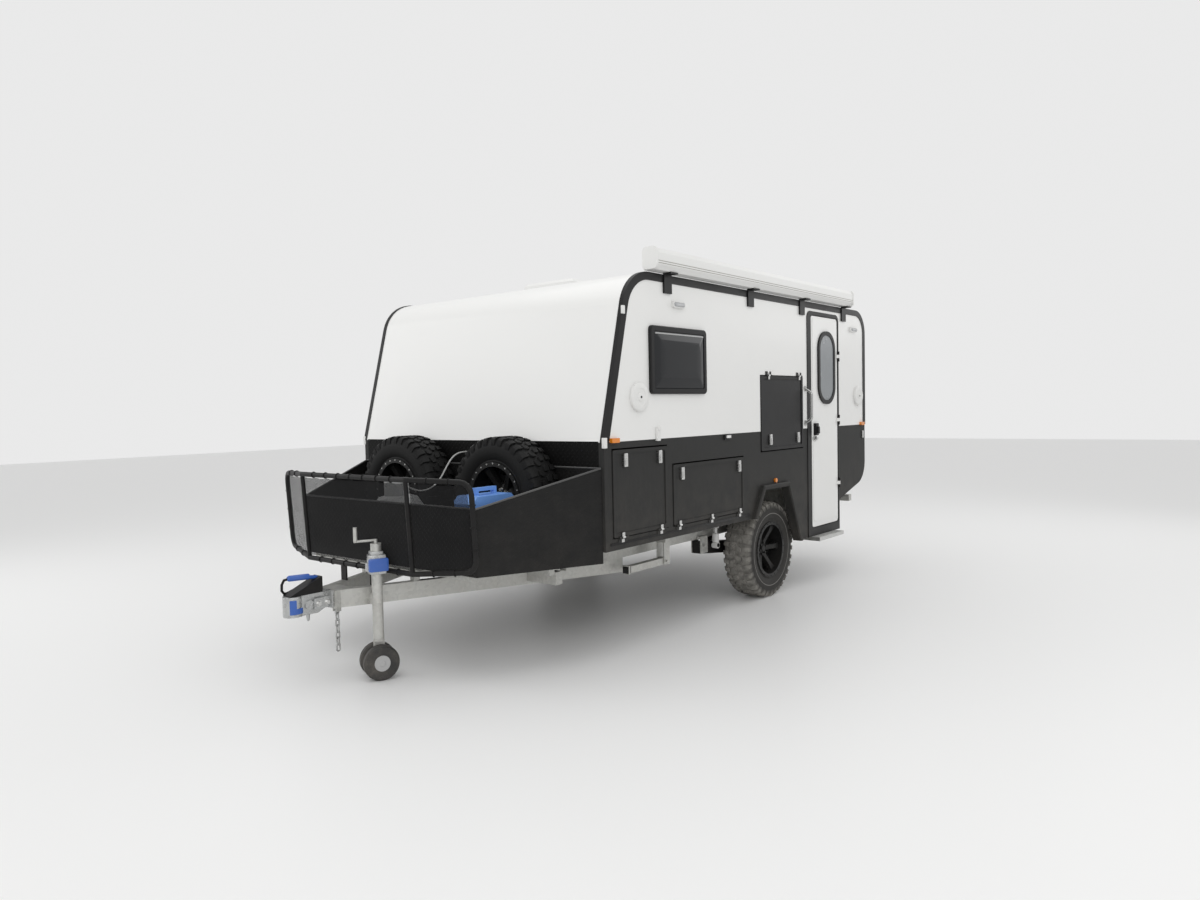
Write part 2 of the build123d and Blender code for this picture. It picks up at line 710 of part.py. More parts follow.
with BuildPart() as grab_handle:
    x = back(handle_place)
    with BuildLine() as bow:
        FilletPolyline((x, half, up(handle_low)), (x, half + handle_reach, up(handle_low) + 34),
                       (x, half + handle_reach, up(handle_high) - 34), (x, half, up(handle_high)),
                       radius=30)
    with BuildSketch(Plane(origin=bow.line @ 0, z_dir=bow.line % 0)):
        Circle(handle_radius)
    sweep()
    block(-far, far, 0, half, 0, far, mode=Mode.SUBTRACT)
    for level in (handle_low, handle_high):
        rod((x, half, up(level)), (x, half + 8, up(level)), handle_radius * 2)
pieces["grab_handle"] = grab_handle.part

# Chassis: two main rails with cross-members, outriggers for the drop legs, arm brackets and spring towers
cross_places = (60.0, arm_pivot_back - 60.0, door_start - 67.0, tail_start - 100.0)
arm_y0 = rail_y - rail_width + 10
arm_y1 = arm_y0 + arm_width
arm_pivot_z = rail_z - 60
arm_pivot_x = back(arm_pivot_back)
arm_pin = 15.0
lug_plate = 8.0
spring_y = arm_y0 - spring_radius - 20
spring_x = back(arm_pivot_back + 330)
spring_z = 400.0
shock_x, shock_y = back(arm_pivot_back + 120), arm_y1 + 34
shock_top = floor_z - 55
leg_z = floor_z - 210
leg_x = back(leg_back)
leg_pin = 8.0
with BuildPart() as chassis:
    for side in (1, -1):
        block(back(tail_start), front_x - wall, side * (rail_y - rail_width), side * rail_y, rail_z,
              floor_z)
        block(leg_x - rail_width / 2, leg_x + rail_width / 2, side * rail_y,
              side * (leg_half + leg_section),
              floor_z - cross_depth, floor_z)
        for edge in (-1, 1):
            y = side * leg_half + edge * (leg_section / 2 + 1 + lug_plate / 2)
            block(leg_x - leg_section, leg_x + leg_section / 2, y - lug_plate / 2, y + lug_plate / 2,
                  leg_z - leg_section / 2, floor_z - cross_depth + 1)
        rod((leg_x, side * leg_half - leg_section, leg_z), (leg_x, side * leg_half + leg_section, leg_z),
            leg_pin)
        for y in (arm_y0 - 1 - lug_plate, arm_y1 + 1):
            block(arm_pivot_x - arm_height / 2, arm_pivot_x + arm_height / 2, side * y,
                  side * (y + lug_plate),
                  arm_pivot_z - arm_height / 2, rail_z + 20)
        block(arm_pivot_x - arm_height / 2, arm_pivot_x + arm_height / 2, side * (arm_y0 - 1 - lug_plate),
              side * (arm_y1 + 1 + lug_plate), rail_z, rail_z + 20)
        rod((arm_pivot_x, side * (arm_y0 - 2 * lug_plate), arm_pivot_z),
            (arm_pivot_x, side * (arm_y1 + 2 * lug_plate), arm_pivot_z), arm_pin)
        block(spring_x - spring_radius, spring_x + spring_radius, side * (spring_y - spring_radius),
              side * (rail_y - rail_width), spring_z + spring_height, spring_z + spring_height + lug_plate)
        rod((shock_x, side * rail_y, shock_top), (shock_x, side * (shock_y + damper_radius), shock_top),
            arm_pin)
        block(rear_x - bumper_overhang, back(tail_start), side * (rail_y - rail_width), side * rail_y,
              floor_z - 20 - bumper_section, floor_z - 20)
    for place in cross_places:
        block(back(place) - rail_width / 2, back(place) + rail_width / 2, -rail_y, rail_y,
              floor_z - cross_depth,
              floor_z)
    block(rear_x - bumper_overhang, rear_x - bumper_overhang + bumper_section, -bumper_half, bumper_half,
          floor_z - 20 - bumper_section, floor_z - 20)
pieces["chassis_rails"] = chassis.part

# Trailing arms with their stub axles
with BuildPart() as arm:
    side_prism([(arm_pivot_x + arm_height / 2, arm_pivot_z - arm_height / 2),
                (arm_pivot_x + arm_height / 2, arm_pivot_z + arm_height / 2),
                (axle_x - arm_height / 2, axle_z + arm_height / 2), (axle_x - arm_height / 2,
                                                                     axle_z - arm_height / 2)],
               arm_y0, arm_y1)
    block(spring_x - spring_radius, spring_x + spring_radius, spring_y - spring_radius, arm_y0 + 1,
          spring_z - lug_plate, spring_z)
    rod((axle_x, arm_y0, axle_z), (axle_x, wheel_y + 10, axle_z), stub_radius)
    rod((shock_x, arm_y1, arm_pivot_z), (shock_x, shock_y + damper_radius, arm_pivot_z), arm_pin)
    rod((arm_pivot_x, arm_y0 - 1, arm_pivot_z), (arm_pivot_x, arm_y1 + 1, arm_pivot_z), arm_pin + seat_gap,
        mode=Mode.SUBTRACT)
pieces["trailing_arms"] = both_sides(arm.part)

# Coil springs on a bump-stop core, and shock absorbers ahead of the wheels
coil_turns = 5
with BuildPart() as spring:
    rod((spring_x, spring_y, spring_z), (spring_x, spring_y, spring_z + spring_height),
        spring_radius - spring_wire)
    for turn in range(coil_turns):
        level = spring_z + turn * (spring_height - 2 * spring_wire) / (coil_turns - 1)
        rod((spring_x, spring_y, level), (spring_x, spring_y, level + 2 * spring_wire), spring_radius)
    eye = arm_pin + seat_gap
    for level in (arm_pivot_z, shock_top):
        rod((shock_x, shock_y - damper_radius + 4, level), (shock_x, shock_y + damper_radius - 4, level),
            eye + 9)
    rod((shock_x, shock_y, arm_pivot_z + eye), (shock_x, shock_y, arm_pivot_z + 90), damper_radius)
    rod((shock_x, shock_y, arm_pivot_z + 80), (shock_x, shock_y, shock_top - eye), damper_radius / 2)
    for level in (arm_pivot_z, shock_top):
        rod((shock_x, 0, level), (shock_x, half, level), eye, mode=Mode.SUBTRACT)
pieces["springs_and_shocks"] = both_sides(spring.part)

# A-frame drawbar with its nose, crate base and jack bracket
apex_x = front_x + apex_reach
tail_x = back(drawbar_tail)
tail_y = rail_y - rail_width / 2
rail_run = hypot(apex_x - tail_x, tail_y - apex_half)
along = Vector((tail_x - apex_x) / rail_run, (tail_y - apex_half) / rail_run, 0)
outward = Vector(along.Y, -along.X, 0)
rail_slope = (tail_y - apex_half) / (apex_x - tail_x)
base_front = crate_reach - 40.0
base_rear = 110.0
jack_z = drawbar_z + 32
jack_rail = Vector(front_x + jack_back, apex_half + (apex_reach - jack_back) * rail_slope, jack_z)
jack_pivot = jack_rail + outward * (drawbar_width / 2 + jack_standoff)
jack_boss = 34.0
jack_pin = 14.0
boss_gap = 1.0
boss_split = jack_standoff / 2
chain_x, chain_y = apex_x - 40.0, 0.0
chain_pin = 7.0
chain_pin_z = drawbar_z - 24


def beam(start, end, width, z0, z1):
    run = Vector(end[0] - start[0], end[1] - start[1], 0).normalized()
    across = Vector(-run.Y, run.X, 0) * (width / 2)
    ends = [Vector(*start) + across, Vector(*start) - across, Vector(*end) - across, Vector(*end) + across]
    with BuildSketch(Plane.XY.offset(z0)) as face:
        with BuildLine():
            Polyline(*[(corner.X, corner.Y) for corner in ends], close=True)
        make_face()
    extrude(face.sketch, amount=z1 - z0)


def rail_y_at(x):
    return apex_half + (apex_x - x) * rail_slope


nose_front = apex_x + 30
with BuildPart() as drawbar:
    for side in (1, -1):
        beam((tail_x, side * tail_y), (apex_x, side * apex_half), drawbar_width, drawbar_z, rail_z)
        post_y = side * rail_y_at(front_x + base_front)
        block(front_x + base_front - 20, front_x + base_front + 20, post_y - 20, post_y + 20, rail_z - 1,
              crate_z - 30)
    block(front_x + apex_reach - 90, nose_front, -apex_half - 30, apex_half + 30, drawbar_z, rail_z)
    block(front_x + base_rear - 25, front_x + base_rear + 25, -crate_half_front, crate_half_front, rail_z,
          crate_z)
    block(front_x + base_front - 25, front_x + base_front + 25, -crate_half_front + 60,
          crate_half_front - 60,
          crate_z - 30, crate_z)
    beam((front_x, -tail_y), (front_x, tail_y), 60, drawbar_z + 20, rail_z)
    rod(jack_rail, (jack_rail + outward * (drawbar_width / 2 + boss_split - boss_gap)), jack_boss)
    rod(jack_rail, (jack_rail + outward * (drawbar_width / 2 + jack_standoff - 12)), jack_pin)
    for edge in (-1, 1):
        block(chain_x - 16, chain_x + 16, edge * 15 - 4, edge * 15 + 4, chain_pin_z - 14, drawbar_z + 1)
    rod((chain_x, -19, chain_pin_z), (chain_x, 19, chain_pin_z), chain_pin)
pieces["drawbar"] = drawbar.part

# Coupling: bolted body with a trunnion and a pin head, and its release lever
head_x = front_x + drawbar_reach - head_radius
head_height = 112.0
head_top = coupling_height + head_height / 2
flange = 16.0
neck_x = nose_front + flange
with BuildPart() as coupling:
    block(nose_front, neck_x, -apex_half - 20, apex_half + 20, drawbar_z + 6, coupling_height + 62)
    side_prism([(neck_x - 1, drawbar_z + 16), (neck_x - 1, head_top), (head_x, head_top),
                (head_x, head_top - head_height), (neck_x + 60, head_top - head_height)],
               -coupling_half, coupling_half)
    rod((head_x, 0, head_top - head_height), (head_x, 0, head_top), head_radius)
    for side in (1, -1):
        block(neck_x - 1, neck_x + 96, side * coupling_half, side * (coupling_half + 22),
              coupling_height - 30,
              coupling_height + 30)
        rod((neck_x + 118, side * coupling_half, coupling_height), (neck_x + 118,
                                                                    side * (coupling_half + 14),
            coupling_height), 26)
    rod((head_x, 0, head_top - 2 * head_height), (head_x, 0, head_top + head_height), pin_bore,
        mode=Mode.SUBTRACT)
pieces["coupling"] = coupling.part

# Latch guard sloping up behind the head, with the release lever on it
cheek_rise, cheek_in, cheek_out = 86.0, 20.0, 36.0
cheek_front, cheek_rear = head_x + head_radius - 24, neck_x + 24
lever_post, lever_reach, lever_radius = 30.0, 104.0, 11.0
lever_z = head_top + cheek_rise - 2 * lever_radius
with BuildPart() as latch_guard:
    for side in (1, -1):
        side_prism([(cheek_front, head_top), (cheek_rear, head_top), (cheek_rear, head_top + cheek_rise)],
                   side * cheek_in, side * cheek_out)
    block(cheek_rear, cheek_rear + lever_post, -cheek_out, cheek_out, head_top, lever_z)
pieces["coupling_guard"] = latch_guard.part

with BuildPart() as lever:
    block(cheek_rear, cheek_rear + lever_post, -lever_radius, lever_radius, lever_z, head_top + cheek_rise)
    rod((cheek_rear + lever_post / 2, 0, head_top + cheek_rise - lever_radius / 2),
        (cheek_rear + lever_post / 2 + lever_reach, 0, head_top + cheek_rise + lever_radius), lever_radius)
pieces["coupling_lever"] = lever.part

# Safety chain hanging below the nose
link_half = chain_pitch / 2
link_side = chain_wire * 2.3
link_corner = 1.5 * chain_wire
with BuildPart() as chain:
    top = chain_pin_z + chain_pin + seat_gap - link_half
    for index in range(chain_links):
        level = top - index * (chain_pitch - seat_gap)
        flat = Vector(1, 0, 0) if index % 2 == 0 else Vector(0, 1, 0)
        middle = Vector(chain_x, chain_y, level)
        plane = Plane(origin=middle, x_dir=flat, z_dir=flat.cross(Vector(0, 0, 1)))
        with BuildSketch(plane.offset(-chain_wire)) as link:
            Rectangle(2 * (link_side + chain_wire), 2 * (link_half + 2 * chain_wire))
            chamfer(link.vertices(), link_corner)
            Rectangle(2 * (link_side - chain_wire), 2 * link_half, mode=Mode.SUBTRACT)
        extrude(link.sketch, amount=2 * chain_wire)
pieces["safety_chain"] = chain.part


# Wheels: a section turned about the axle, a along the axle and r from it
def turned(centre, axis, section, mode=Mode.ADD):
    with BuildSketch(wheel_plane(centre, axis)) as face:
        with BuildLine():
            Polyline(*section, close=True)
        make_face()
    revolve(face.sketch, Axis(centre, axis), mode=mode)


tyre_r = tyre_diameter / 2
bead_r = rim_radius + seat_gap
tyre_half = tyre_width / 2


# One pitch of the faceted carcass with its lugs, about the X axis
def tyre_pitch():
    base = tyre_r - lug_depth
    outer = [(0.70 * tyre_half, bead_r), (0.84 * tyre_half, bead_r + 8), (0.96 * tyre_half, bead_r + 62),
             (0.95 * tyre_half, tyre_r - 48), (0.80 * tyre_half, base)]
    inner = [(0.70 * tyre_half, bead_r + 14), (0.80 * tyre_half, tyre_r - 50)]
    section = outer + [(-a, r) for a, r in reversed(outer)] + [(-a, r) for a, r in inner]
    section += [(a, r) for a, r in reversed(inner)]
    shoulder = [(0.50 * tyre_half, base - 4), (0.50 * tyre_half, tyre_r), (0.86 * tyre_half, tyre_r),
                (tyre_half, tyre_r - 26), (tyre_half, tyre_r - 62), (0.90 * tyre_half, tyre_r - 68),
                (0.86 * tyre_half, tyre_r - 30)]
    slope = tan(radians(180 / pitch_count))
    with BuildPart() as pitch:
        side_prism(section, -slope * tyre_diameter, slope * tyre_diameter)
        side_prism(shoulder, -lug_width, 0)
        side_prism([(-a, r) for a, r in shoulder], 0, lug_width)
        with BuildSketch(Plane.XY.offset(base - 4)) as row:
            with Locations((0, lug_width)):
                Rectangle(0.84 * tyre_half, 0.6 * lug_width, rotation=12)
        extrude(row.sketch, amount=lug_depth + 4)
        with BuildSketch(Plane.YZ) as wedge:
            with BuildLine():
                Polyline((0, 0), (slope * tyre_diameter, tyre_diameter), (-slope * tyre_diameter,
                                                                          tyre_diameter),
                         close=True)
            make_face()
        extrude(wedge.sketch, amount=tyre_width, both=True, mode=Mode.INTERSECT)
    return pitch.part


with BuildPart() as tyre:
    one_pitch = tyre_pitch()
    for index in range(pitch_count):
        add(one_pitch.rotate(Axis.X, index * 360 / pitch_count))


def tyre_at(centre, axis):
    return Plane(origin=centre, x_dir=axis, z_dir=(0, 0, 1)).location * tyre.part


dish = 8.0  # disc face inboard of the rim's middle
disc = 14.0
spoke_count = 6


def rim_at(centre, axis, bore):
    edge = rim_width / 2
    barrel = rim_radius - 12
    with BuildPart() as rim:
        turned(centre, axis, [(-edge, barrel), (-edge, rim_radius + 14), (-edge + 8, rim_radius + 14),
                              (-edge + 10, rim_radius), (edge - 10, rim_radius), (edge - 8,
                                                                                  rim_radius + 14),
                              (edge, rim_radius + 14), (edge, barrel)])
        turned(centre, axis, [(-dish - disc, 0), (-dish - disc, barrel + 1), (-dish, barrel + 1), (-dish,
                                                                                                   100),
                              (-dish + 26, 78), (-dish + 34, 60), (-dish + 34, 0)])
        along_axis = Plane(origin=centre, z_dir=axis)
        with BuildSketch(along_axis.offset(-dish - 2 * disc)) as slots:
            with PolarLocations(148, spoke_count):
                SlotOverall(86, 44, rotation=90)
        extrude(slots.sketch, amount=3 * disc, dir=axis, mode=Mode.SUBTRACT)
        if bore:
            turned(centre, axis, [(-edge, 0), (-edge, bore), (-dish + 22, bore), (-dish + 22, 0)],
                   mode=Mode.SUBTRACT)
    return rim.part


tyre_left = tyre_at((axle_x, wheel_y, axle_z), (0, 1, 0))
rim_left = rim_at((axle_x, wheel_y, axle_z), (0, 1, 0), stub_radius + running_fit)
pieces["tyre_left"] = tyre_left
pieces["rim_left"] = rim_left
pieces["tyre_right"] = mirrored(tyre_left)
pieces["rim_right"] = mirrored(rim_left)

# Spare wheels stand in the crate against the body's front
spare_x = front_x + 22 + tyre_half
spare_z = crate_z + crate_plate + tyre_r + seat_gap
pieces["spare_tyres"] = both_sides(tyre_at((spare_x, spare_half, spare_z), (1, 0, 0)))
pieces["spare_rims"] = both_sides(rim_at((spare_x, spare_half, spare_z), (1, 0, 0), 0))

# Jack: leg on the drawbar's pivot pin, swivelling yoke, twin wheels on one axle
pivot = jack_pivot
leg_end = 2.3 * jack_wheel_radius
stem = 12.0
stem_depth = 40.0
fork = jack_wheel_space - 12


def jack_point(height):
    return (jack_pivot.X, jack_pivot.Y, height)


with BuildPart() as jack_leg:
    rod(jack_point(leg_end), jack_point(jack_z + jack_top), jack_tube)
    rod((jack_pivot - outward * (jack_standoff - boss_split)), pivot, jack_boss)
    rod(jack_point(jack_z + jack_top), jack_point(jack_z + jack_top + 24), jack_tube / 3)
    crank = jack_z + jack_top + 18
    rod(jack_point(crank), (jack_pivot - along * 120 + Vector(0, 0, jack_top + 18)), 7)
    rod((jack_pivot - along * 112 + Vector(0, 0, jack_top + 18)),
        (jack_pivot - along * 112 + Vector(0, 0, jack_top + 98)), 11)
    rod((jack_pivot - outward * (jack_standoff + 1)), (jack_pivot - outward * 11),
        jack_pin + running_fit, mode=Mode.SUBTRACT)
    rod(jack_point(leg_end - 1), jack_point(leg_end + stem_depth + 2), stem + running_fit,
        mode=Mode.SUBTRACT)
pieces["jack_leg"] = jack_leg.part

with BuildPart() as jack_yoke:
    rod(jack_point(leg_end - 14), jack_point(leg_end + stem_depth), stem)
    rod(jack_point(leg_end - 14), jack_point(leg_end - 1), jack_tube)
    middle = Plane(origin=jack_point(jack_wheel_radius), x_dir=along, z_dir=outward)
    with BuildSketch(middle.offset(-fork / 2)) as web:
        with BuildLine():
            Polyline((-28, 0), (28, 0), (jack_tube, leg_end - jack_wheel_radius - 8),
                     (-jack_tube, leg_end - jack_wheel_radius - 8), close=True)
        make_face()
        Circle(28)
    extrude(web.sketch, amount=fork)
    rod((Vector(*jack_point(jack_wheel_radius)) - outward * fork),
        (Vector(*jack_point(jack_wheel_radius)) + outward * fork), jack_axle + running_fit,
        mode=Mode.SUBTRACT)
pieces["jack_yoke"] = jack_yoke.part

with BuildPart() as jack_wheels:
    hub = Vector(*jack_point(jack_wheel_radius))
    reach = jack_wheel_space / 2 + jack_wheel_width
    rod((hub - outward * (reach + 4)), (hub + outward * (reach + 4)), jack_axle)
    for side in (1, -1):
        near = hub + outward * (side * jack_wheel_space / 2)
        rod(near, (hub + outward * (side * reach)), jack_wheel_radius)
    chamfer(jack_wheels.edges().filter_by(lambda e: e.geom_type == GeomType.CIRCLE and
                                          e.radius > jack_wheel_radius - 1), jack_wheel_width / 5)
pieces["jack_wheels"] = jack_wheels.part

# Drop legs, stowed flat under the chassis and swung down to stand
with BuildPart() as drop_leg:
    s = leg_section / 2
    block(leg_x - s, leg_x + leg_length, leg_half - s, leg_half + s, leg_z - s, leg_z + s)
    block(leg_x + leg_length - 12, leg_x + leg_length, leg_half - s - 6, leg_half + s + 6, leg_z - s - 6,
          leg_z + s + 6)
    rod((leg_x, leg_half - leg_section, leg_z), (leg_x, leg_half + leg_section, leg_z),
        leg_pin + running_fit,
        mode=Mode.SUBTRACT)
pieces["drop_leg_left"] = drop_leg.part
pieces["drop_leg_right"] = mirrored(drop_leg.part)

# Entry step on two runners under the entry well
runner_width, runner_height, runner_wall = 50.0, 34.0, 5.0
runner_places = (step_start + 40.0, step_start + step_length - 80.0)
runner_z = floor_z - skirt_drop - runner_height
step_edge = half + step_proud
with BuildPart() as runners:
    for place in runner_places:
        block(back(place) - runner_width / 2, back(place) + runner_width / 2, well_y, inside, runner_z,
              runner_z + runner_height)
        block(back(place) - runner_width / 2 + runner_wall, back(place) + runner_width / 2 - runner_wall, 0,
              far,
              runner_z + runner_wall, runner_z + runner_height - runner_wall, mode=Mode.SUBTRACT)
pieces["step_runners"] = runners.part

with BuildPart() as step:
    block(back(step_start + step_length), back(step_start), inside + 6, step_edge, runner_z + 2,
          runner_z + 2 + step_thickness)
    for place in runner_places:
        block(back(place) - runner_width / 2 + runner_wall + seat_gap,
              back(place) + runner_width / 2 - runner_wall - seat_gap, well_y + 10, inside + 8,
              runner_z + runner_wall + seat_gap, runner_z + runner_height - runner_wall - seat_gap)
pieces["entry_step"] = step.part


# Crate of tread plate, tapered in plan with a sloping top edge
def crate_plan(inset, z0, z1, mode=Mode.ADD):
    with BuildSketch(Plane.XY.offset(z0)) as face:
        with BuildLine():
            Polyline((front_x + 2 + inset, crate_half_rear - inset), (front_x + crate_reach - inset,
                     crate_half_front - inset), (front_x + crate_reach - inset, -crate_half_front + inset),
                     (front_x + 2 + inset, -crate_half_rear + inset), close=True)
        make_face()
    extrude(face.sketch, amount=z1 - z0, mode=mode)


with BuildPart() as crate:
    crate_plan(0, crate_z, up(crate_rear_top))
    crate_plan(crate_plate, crate_z + crate_plate, far, mode=Mode.SUBTRACT)
    side_prism([(front_x - 1, up(crate_rear_top)), (front_x + crate_reach + 1, up(crate_front_top)),
                (front_x + crate_reach + 1, far), (front_x - 1, far)], -far, far, mode=Mode.SUBTRACT)
pieces["crate"] = crate.part

# Stone guard: bent tube frame on two feet, mesh stretched inside it
wing_lean = guard_lean * (wing_high - wing_low) / (guard_high - guard_low)
guard_corners = [
    (front_x + guard_reach, guard_half, up(guard_high)),
    (front_x + wing_reach, wing_half, up(wing_high)),
    (front_x + wing_reach - wing_lean, wing_half, up(wing_low)),
    (front_x + guard_reach - guard_lean, guard_half, up(guard_low)),
]
other_side = [(x, -y, z) for x, y, z in reversed(guard_corners)]
foot_x = front_x + guard_reach - guard_lean


# Points round a corner between two others, where the tube bends
def bend_points(before, corner, after):
    corner = Vector(*corner)
    inward, onward = (Vector(*before) - corner).normalized(), (Vector(*after) - corner).normalized()
    half_angle = radians(inward.get_angle(onward)) / 2
    run = guard_bend / tan(half_angle)
    middle = corner + (inward + onward).normalized() * (guard_bend / sin(half_angle) - guard_bend)
    arc = ThreePointArc(corner + inward * run, middle, corner + onward * run, mode=Mode.PRIVATE)
    return [arc @ (step / bend_steps) for step in range(bend_steps + 1)]


# Round tube along a closed path, each run cut off square to the bisector at its corners
def mitred_tube(path, radius):
    runs = [(after - point).normalized() for point, after in zip(path, path[1:] + path[:1])]
    for index, start in enumerate(path):
        end = path[(index + 1) % len(path)]
        before, run, after = runs[index - 1], runs[index], runs[(index + 1) % len(path)]
        with BuildPart(mode=Mode.PRIVATE) as piece:
            rod(start - run * 3 * radius, end + run * 3 * radius, radius)
            split(bisect_by=Plane(origin=start, z_dir=before + run), keep=Keep.TOP)
            split(bisect_by=Plane(origin=end, z_dir=run + after), keep=Keep.BOTTOM)
        add(piece.part)


with BuildPart() as guard:
    ring = []
    for wing in (guard_corners, other_side):
        ring += [Vector(*wing[0]), *bend_points(*wing[:3]), *bend_points(*wing[1:]), Vector(*wing[3])]
    mitred_tube(ring, guard_tube)
    for wing in (guard_corners, other_side):
        rod(wing[0], wing[3], guard_tube - 2)
    for side in (1, -1):
        y = side * rail_y_at(foot_x)
        block(foot_x - 5, foot_x + 5, y - 25, y + 25, rail_z, up(guard_low))
pieces["guard_frame"] = guard.part


def mesh_panel(corners, bend=0):
    origin, across, third = Vector(*corners[0]), Vector(*corners[1]), Vector(*corners[-1])
    plane = Plane(origin=corners[0], x_dir=(across - origin),
                  z_dir=(across - origin).cross(third - origin))
    local = [plane.to_local_coords(Vector(*corner)) for corner in corners]
    with BuildSketch(plane) as face:
        with BuildLine():
            Polyline(*[(point.X, point.Y) for point in local], close=True)
        make_face()
        offset(amount=-guard_tube - seat_gap, kind=Kind.INTERSECTION, mode=Mode.REPLACE)
        if bend:
            fillet([face.vertices().sort_by_distance(corner)[0] for corner in local[1:3]], bend)
    extrude(face.sketch, amount=mesh_thickness / 2, both=True)


with BuildPart() as guard_mesh:
    mesh_panel(guard_corners, guard_bend)
    mesh_panel([guard_corners[3], other_side[0], other_side[3], guard_corners[0]])
    mesh_panel(other_side, guard_bend)
pieces["guard_mesh"] = guard_mesh.part

# Gas bottle, water can and gas hose
hose_points = [(524, -40, 400), (492, 2, 366), (440, 44, 350), (385, 80, 372), (335, 98, 425), (295, 104,
                                                                                                490),
               (245, 98, 545), (180, 80, 573), (110, 62, 580), (50, 50, 578)]
route = [Vector(front_x + x, y, up(z)) for x, y, z in hose_points]
bottle = (front_x + bottle_reach, bottle_side, crate_z + crate_plate + seat_gap)
shoulder = bottle_height - 90
with BuildPart() as gas_bottle:
    with BuildSketch(Plane(origin=bottle, x_dir=(1, 0, 0), z_dir=(0, -1, 0))) as half_bottle:
        with BuildLine():
            Polyline((0, 0), (bottle_radius - 12, 0), (bottle_radius, 20), (bottle_radius, shoulder),
                     (bottle_radius - 32, bottle_height - 40), (60, bottle_height - 22), (24,
                                                                                          bottle_height - 20),
                     (24, bottle_height + 70), (0, bottle_height + 70), close=True)
        make_face()
    revolve(half_bottle.sketch, Axis(bottle, (0, 0, 1)))
    with BuildSketch(Plane(origin=(bottle[0], bottle[1], bottle[2] + bottle_height - 45))) as collar:
        Circle(84)
        Circle(79, mode=Mode.SUBTRACT)
        with Locations((-60, 60)):
            Rectangle(120, 120, mode=Mode.SUBTRACT)
    extrude(collar.sketch, amount=120)
    outlet = (route[1] - route[0]).normalized()
    rod(route[0] - outlet * 45, route[0], 2 * hose_radius)
pieces["gas_bottle"] = gas_bottle.part

with BuildPart() as water_can:
    x0, y0, z0 = front_x + can_reach, can_side, crate_z + crate_plate + seat_gap
    block(x0, x0 + can_length, y0, y0 + can_width, z0, z0 + can_height)
    chamfer(water_can.faces().sort_by(Axis.Z)[-1].edges().filter_by(Axis.Y), 40)
    fillet(water_can.edges().filter_by(Axis.Z), 24)
    block(x0 + 90, x0 + can_length - 90, y0 + can_width / 2 - 14, y0 + can_width / 2 + 14, z0 + can_height,
          z0 + can_height + 42)
    block(x0 + 112, x0 + can_length - 112, y0, y0 + can_width, z0 + can_height, z0 + can_height + 22,
          mode=Mode.SUBTRACT)
pieces["water_can"] = water_can.part

def bend_radius(before, corner, after):
    turn = radians((corner - before).get_angle(after - corner))
    return 0.45 * min((corner - before).length, (after - corner).length) / tan(turn / 2)


hose_radii = [bend_radius(*route[i - 1:i + 2]) for i in range(1, len(route) - 1)]
print("hose bend radii", [round(radius) for radius in hose_radii])
with BuildPart() as gas_hose:
    with BuildLine() as hose_line:
        FilletPolyline(*route, radius=hose_radii)
    with BuildSketch(Plane(origin=hose_line.line @ 0, z_dir=hose_line.line % 0)):
        Circle(hose_radius)
    sweep()
hose_length = sum(edge.length for edge in hose_line.edges())
print("hose length", round(hose_length), "volume ratio",
      round(gas_hose.part.volume / (hose_length * pi * hose_radius ** 2), 3))
pieces["gas_hose"] = gas_hose.part

with BuildPart() as gas_inlet:
    inlet = (route[-1] - route[-2]).normalized()
    rod(route[-1], route[-1] + inlet * 80, 2 * hose_radius)
    block(-far, front_x, -far, far, 0, far, mode=Mode.SUBTRACT)
pieces["gas_inlet"] = gas_inlet.part

for name, piece in pieces.items():
    piece.label = name
    export_step(piece, f"parts/{name}.step")
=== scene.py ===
import json
import math

import bmesh
import bpy
from mathutils import Matrix, Vector


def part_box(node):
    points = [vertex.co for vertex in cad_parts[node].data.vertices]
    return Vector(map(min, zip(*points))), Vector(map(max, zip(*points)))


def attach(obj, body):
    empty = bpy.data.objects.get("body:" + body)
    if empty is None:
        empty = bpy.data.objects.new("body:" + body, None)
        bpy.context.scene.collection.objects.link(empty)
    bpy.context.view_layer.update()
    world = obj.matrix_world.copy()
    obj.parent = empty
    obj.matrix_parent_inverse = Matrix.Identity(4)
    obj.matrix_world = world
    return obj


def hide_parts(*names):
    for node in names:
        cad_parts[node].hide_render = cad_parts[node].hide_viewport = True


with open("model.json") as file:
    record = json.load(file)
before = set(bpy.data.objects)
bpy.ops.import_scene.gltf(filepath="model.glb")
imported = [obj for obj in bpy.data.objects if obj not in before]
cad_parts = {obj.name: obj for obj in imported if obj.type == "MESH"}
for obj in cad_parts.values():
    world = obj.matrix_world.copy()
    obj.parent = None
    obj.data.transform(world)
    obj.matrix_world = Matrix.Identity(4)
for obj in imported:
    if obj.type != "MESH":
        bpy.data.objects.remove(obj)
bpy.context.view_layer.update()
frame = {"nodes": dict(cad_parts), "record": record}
nodes = frame["nodes"]
scene = bpy.context.scene
print("frame loaded,", len(nodes), "nodes")

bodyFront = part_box("front_panel")[1].x
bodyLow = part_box("front_panel")[0].z
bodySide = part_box("wall_left_upper")[1].y
hands = (1, -1)  # left, right


def at(back, side, up):  # metres back from the body's front edge, to the left, up from the body's lower edge
    return Vector((bodyFront - back, side, bodyLow + up))


def nose(ahead, side, height):  # metres ahead of the body's front edge, to the left, up from the ground
    return Vector((bodyFront + ahead, side, height))


# Node helpers
def plug(tree, node, key, value):
    label = key.replace("_", " ")
    socket = node.inputs[int(label[1:])] if label[0] == "i" and label[1:].isdigit() else node.inputs[label]
    if isinstance(value, bpy.types.NodeSocket):
        tree.links.new(value, socket)
    else:
        socket.default_value = value


def addNode(tree, kind, settings, sockets):
    node = tree.nodes.new(kind)
    for key, value in (settings or {}).items():
        setattr(node, key, value)
    for key, value in sockets.items():
        plug(tree, node, key, value)
    return node


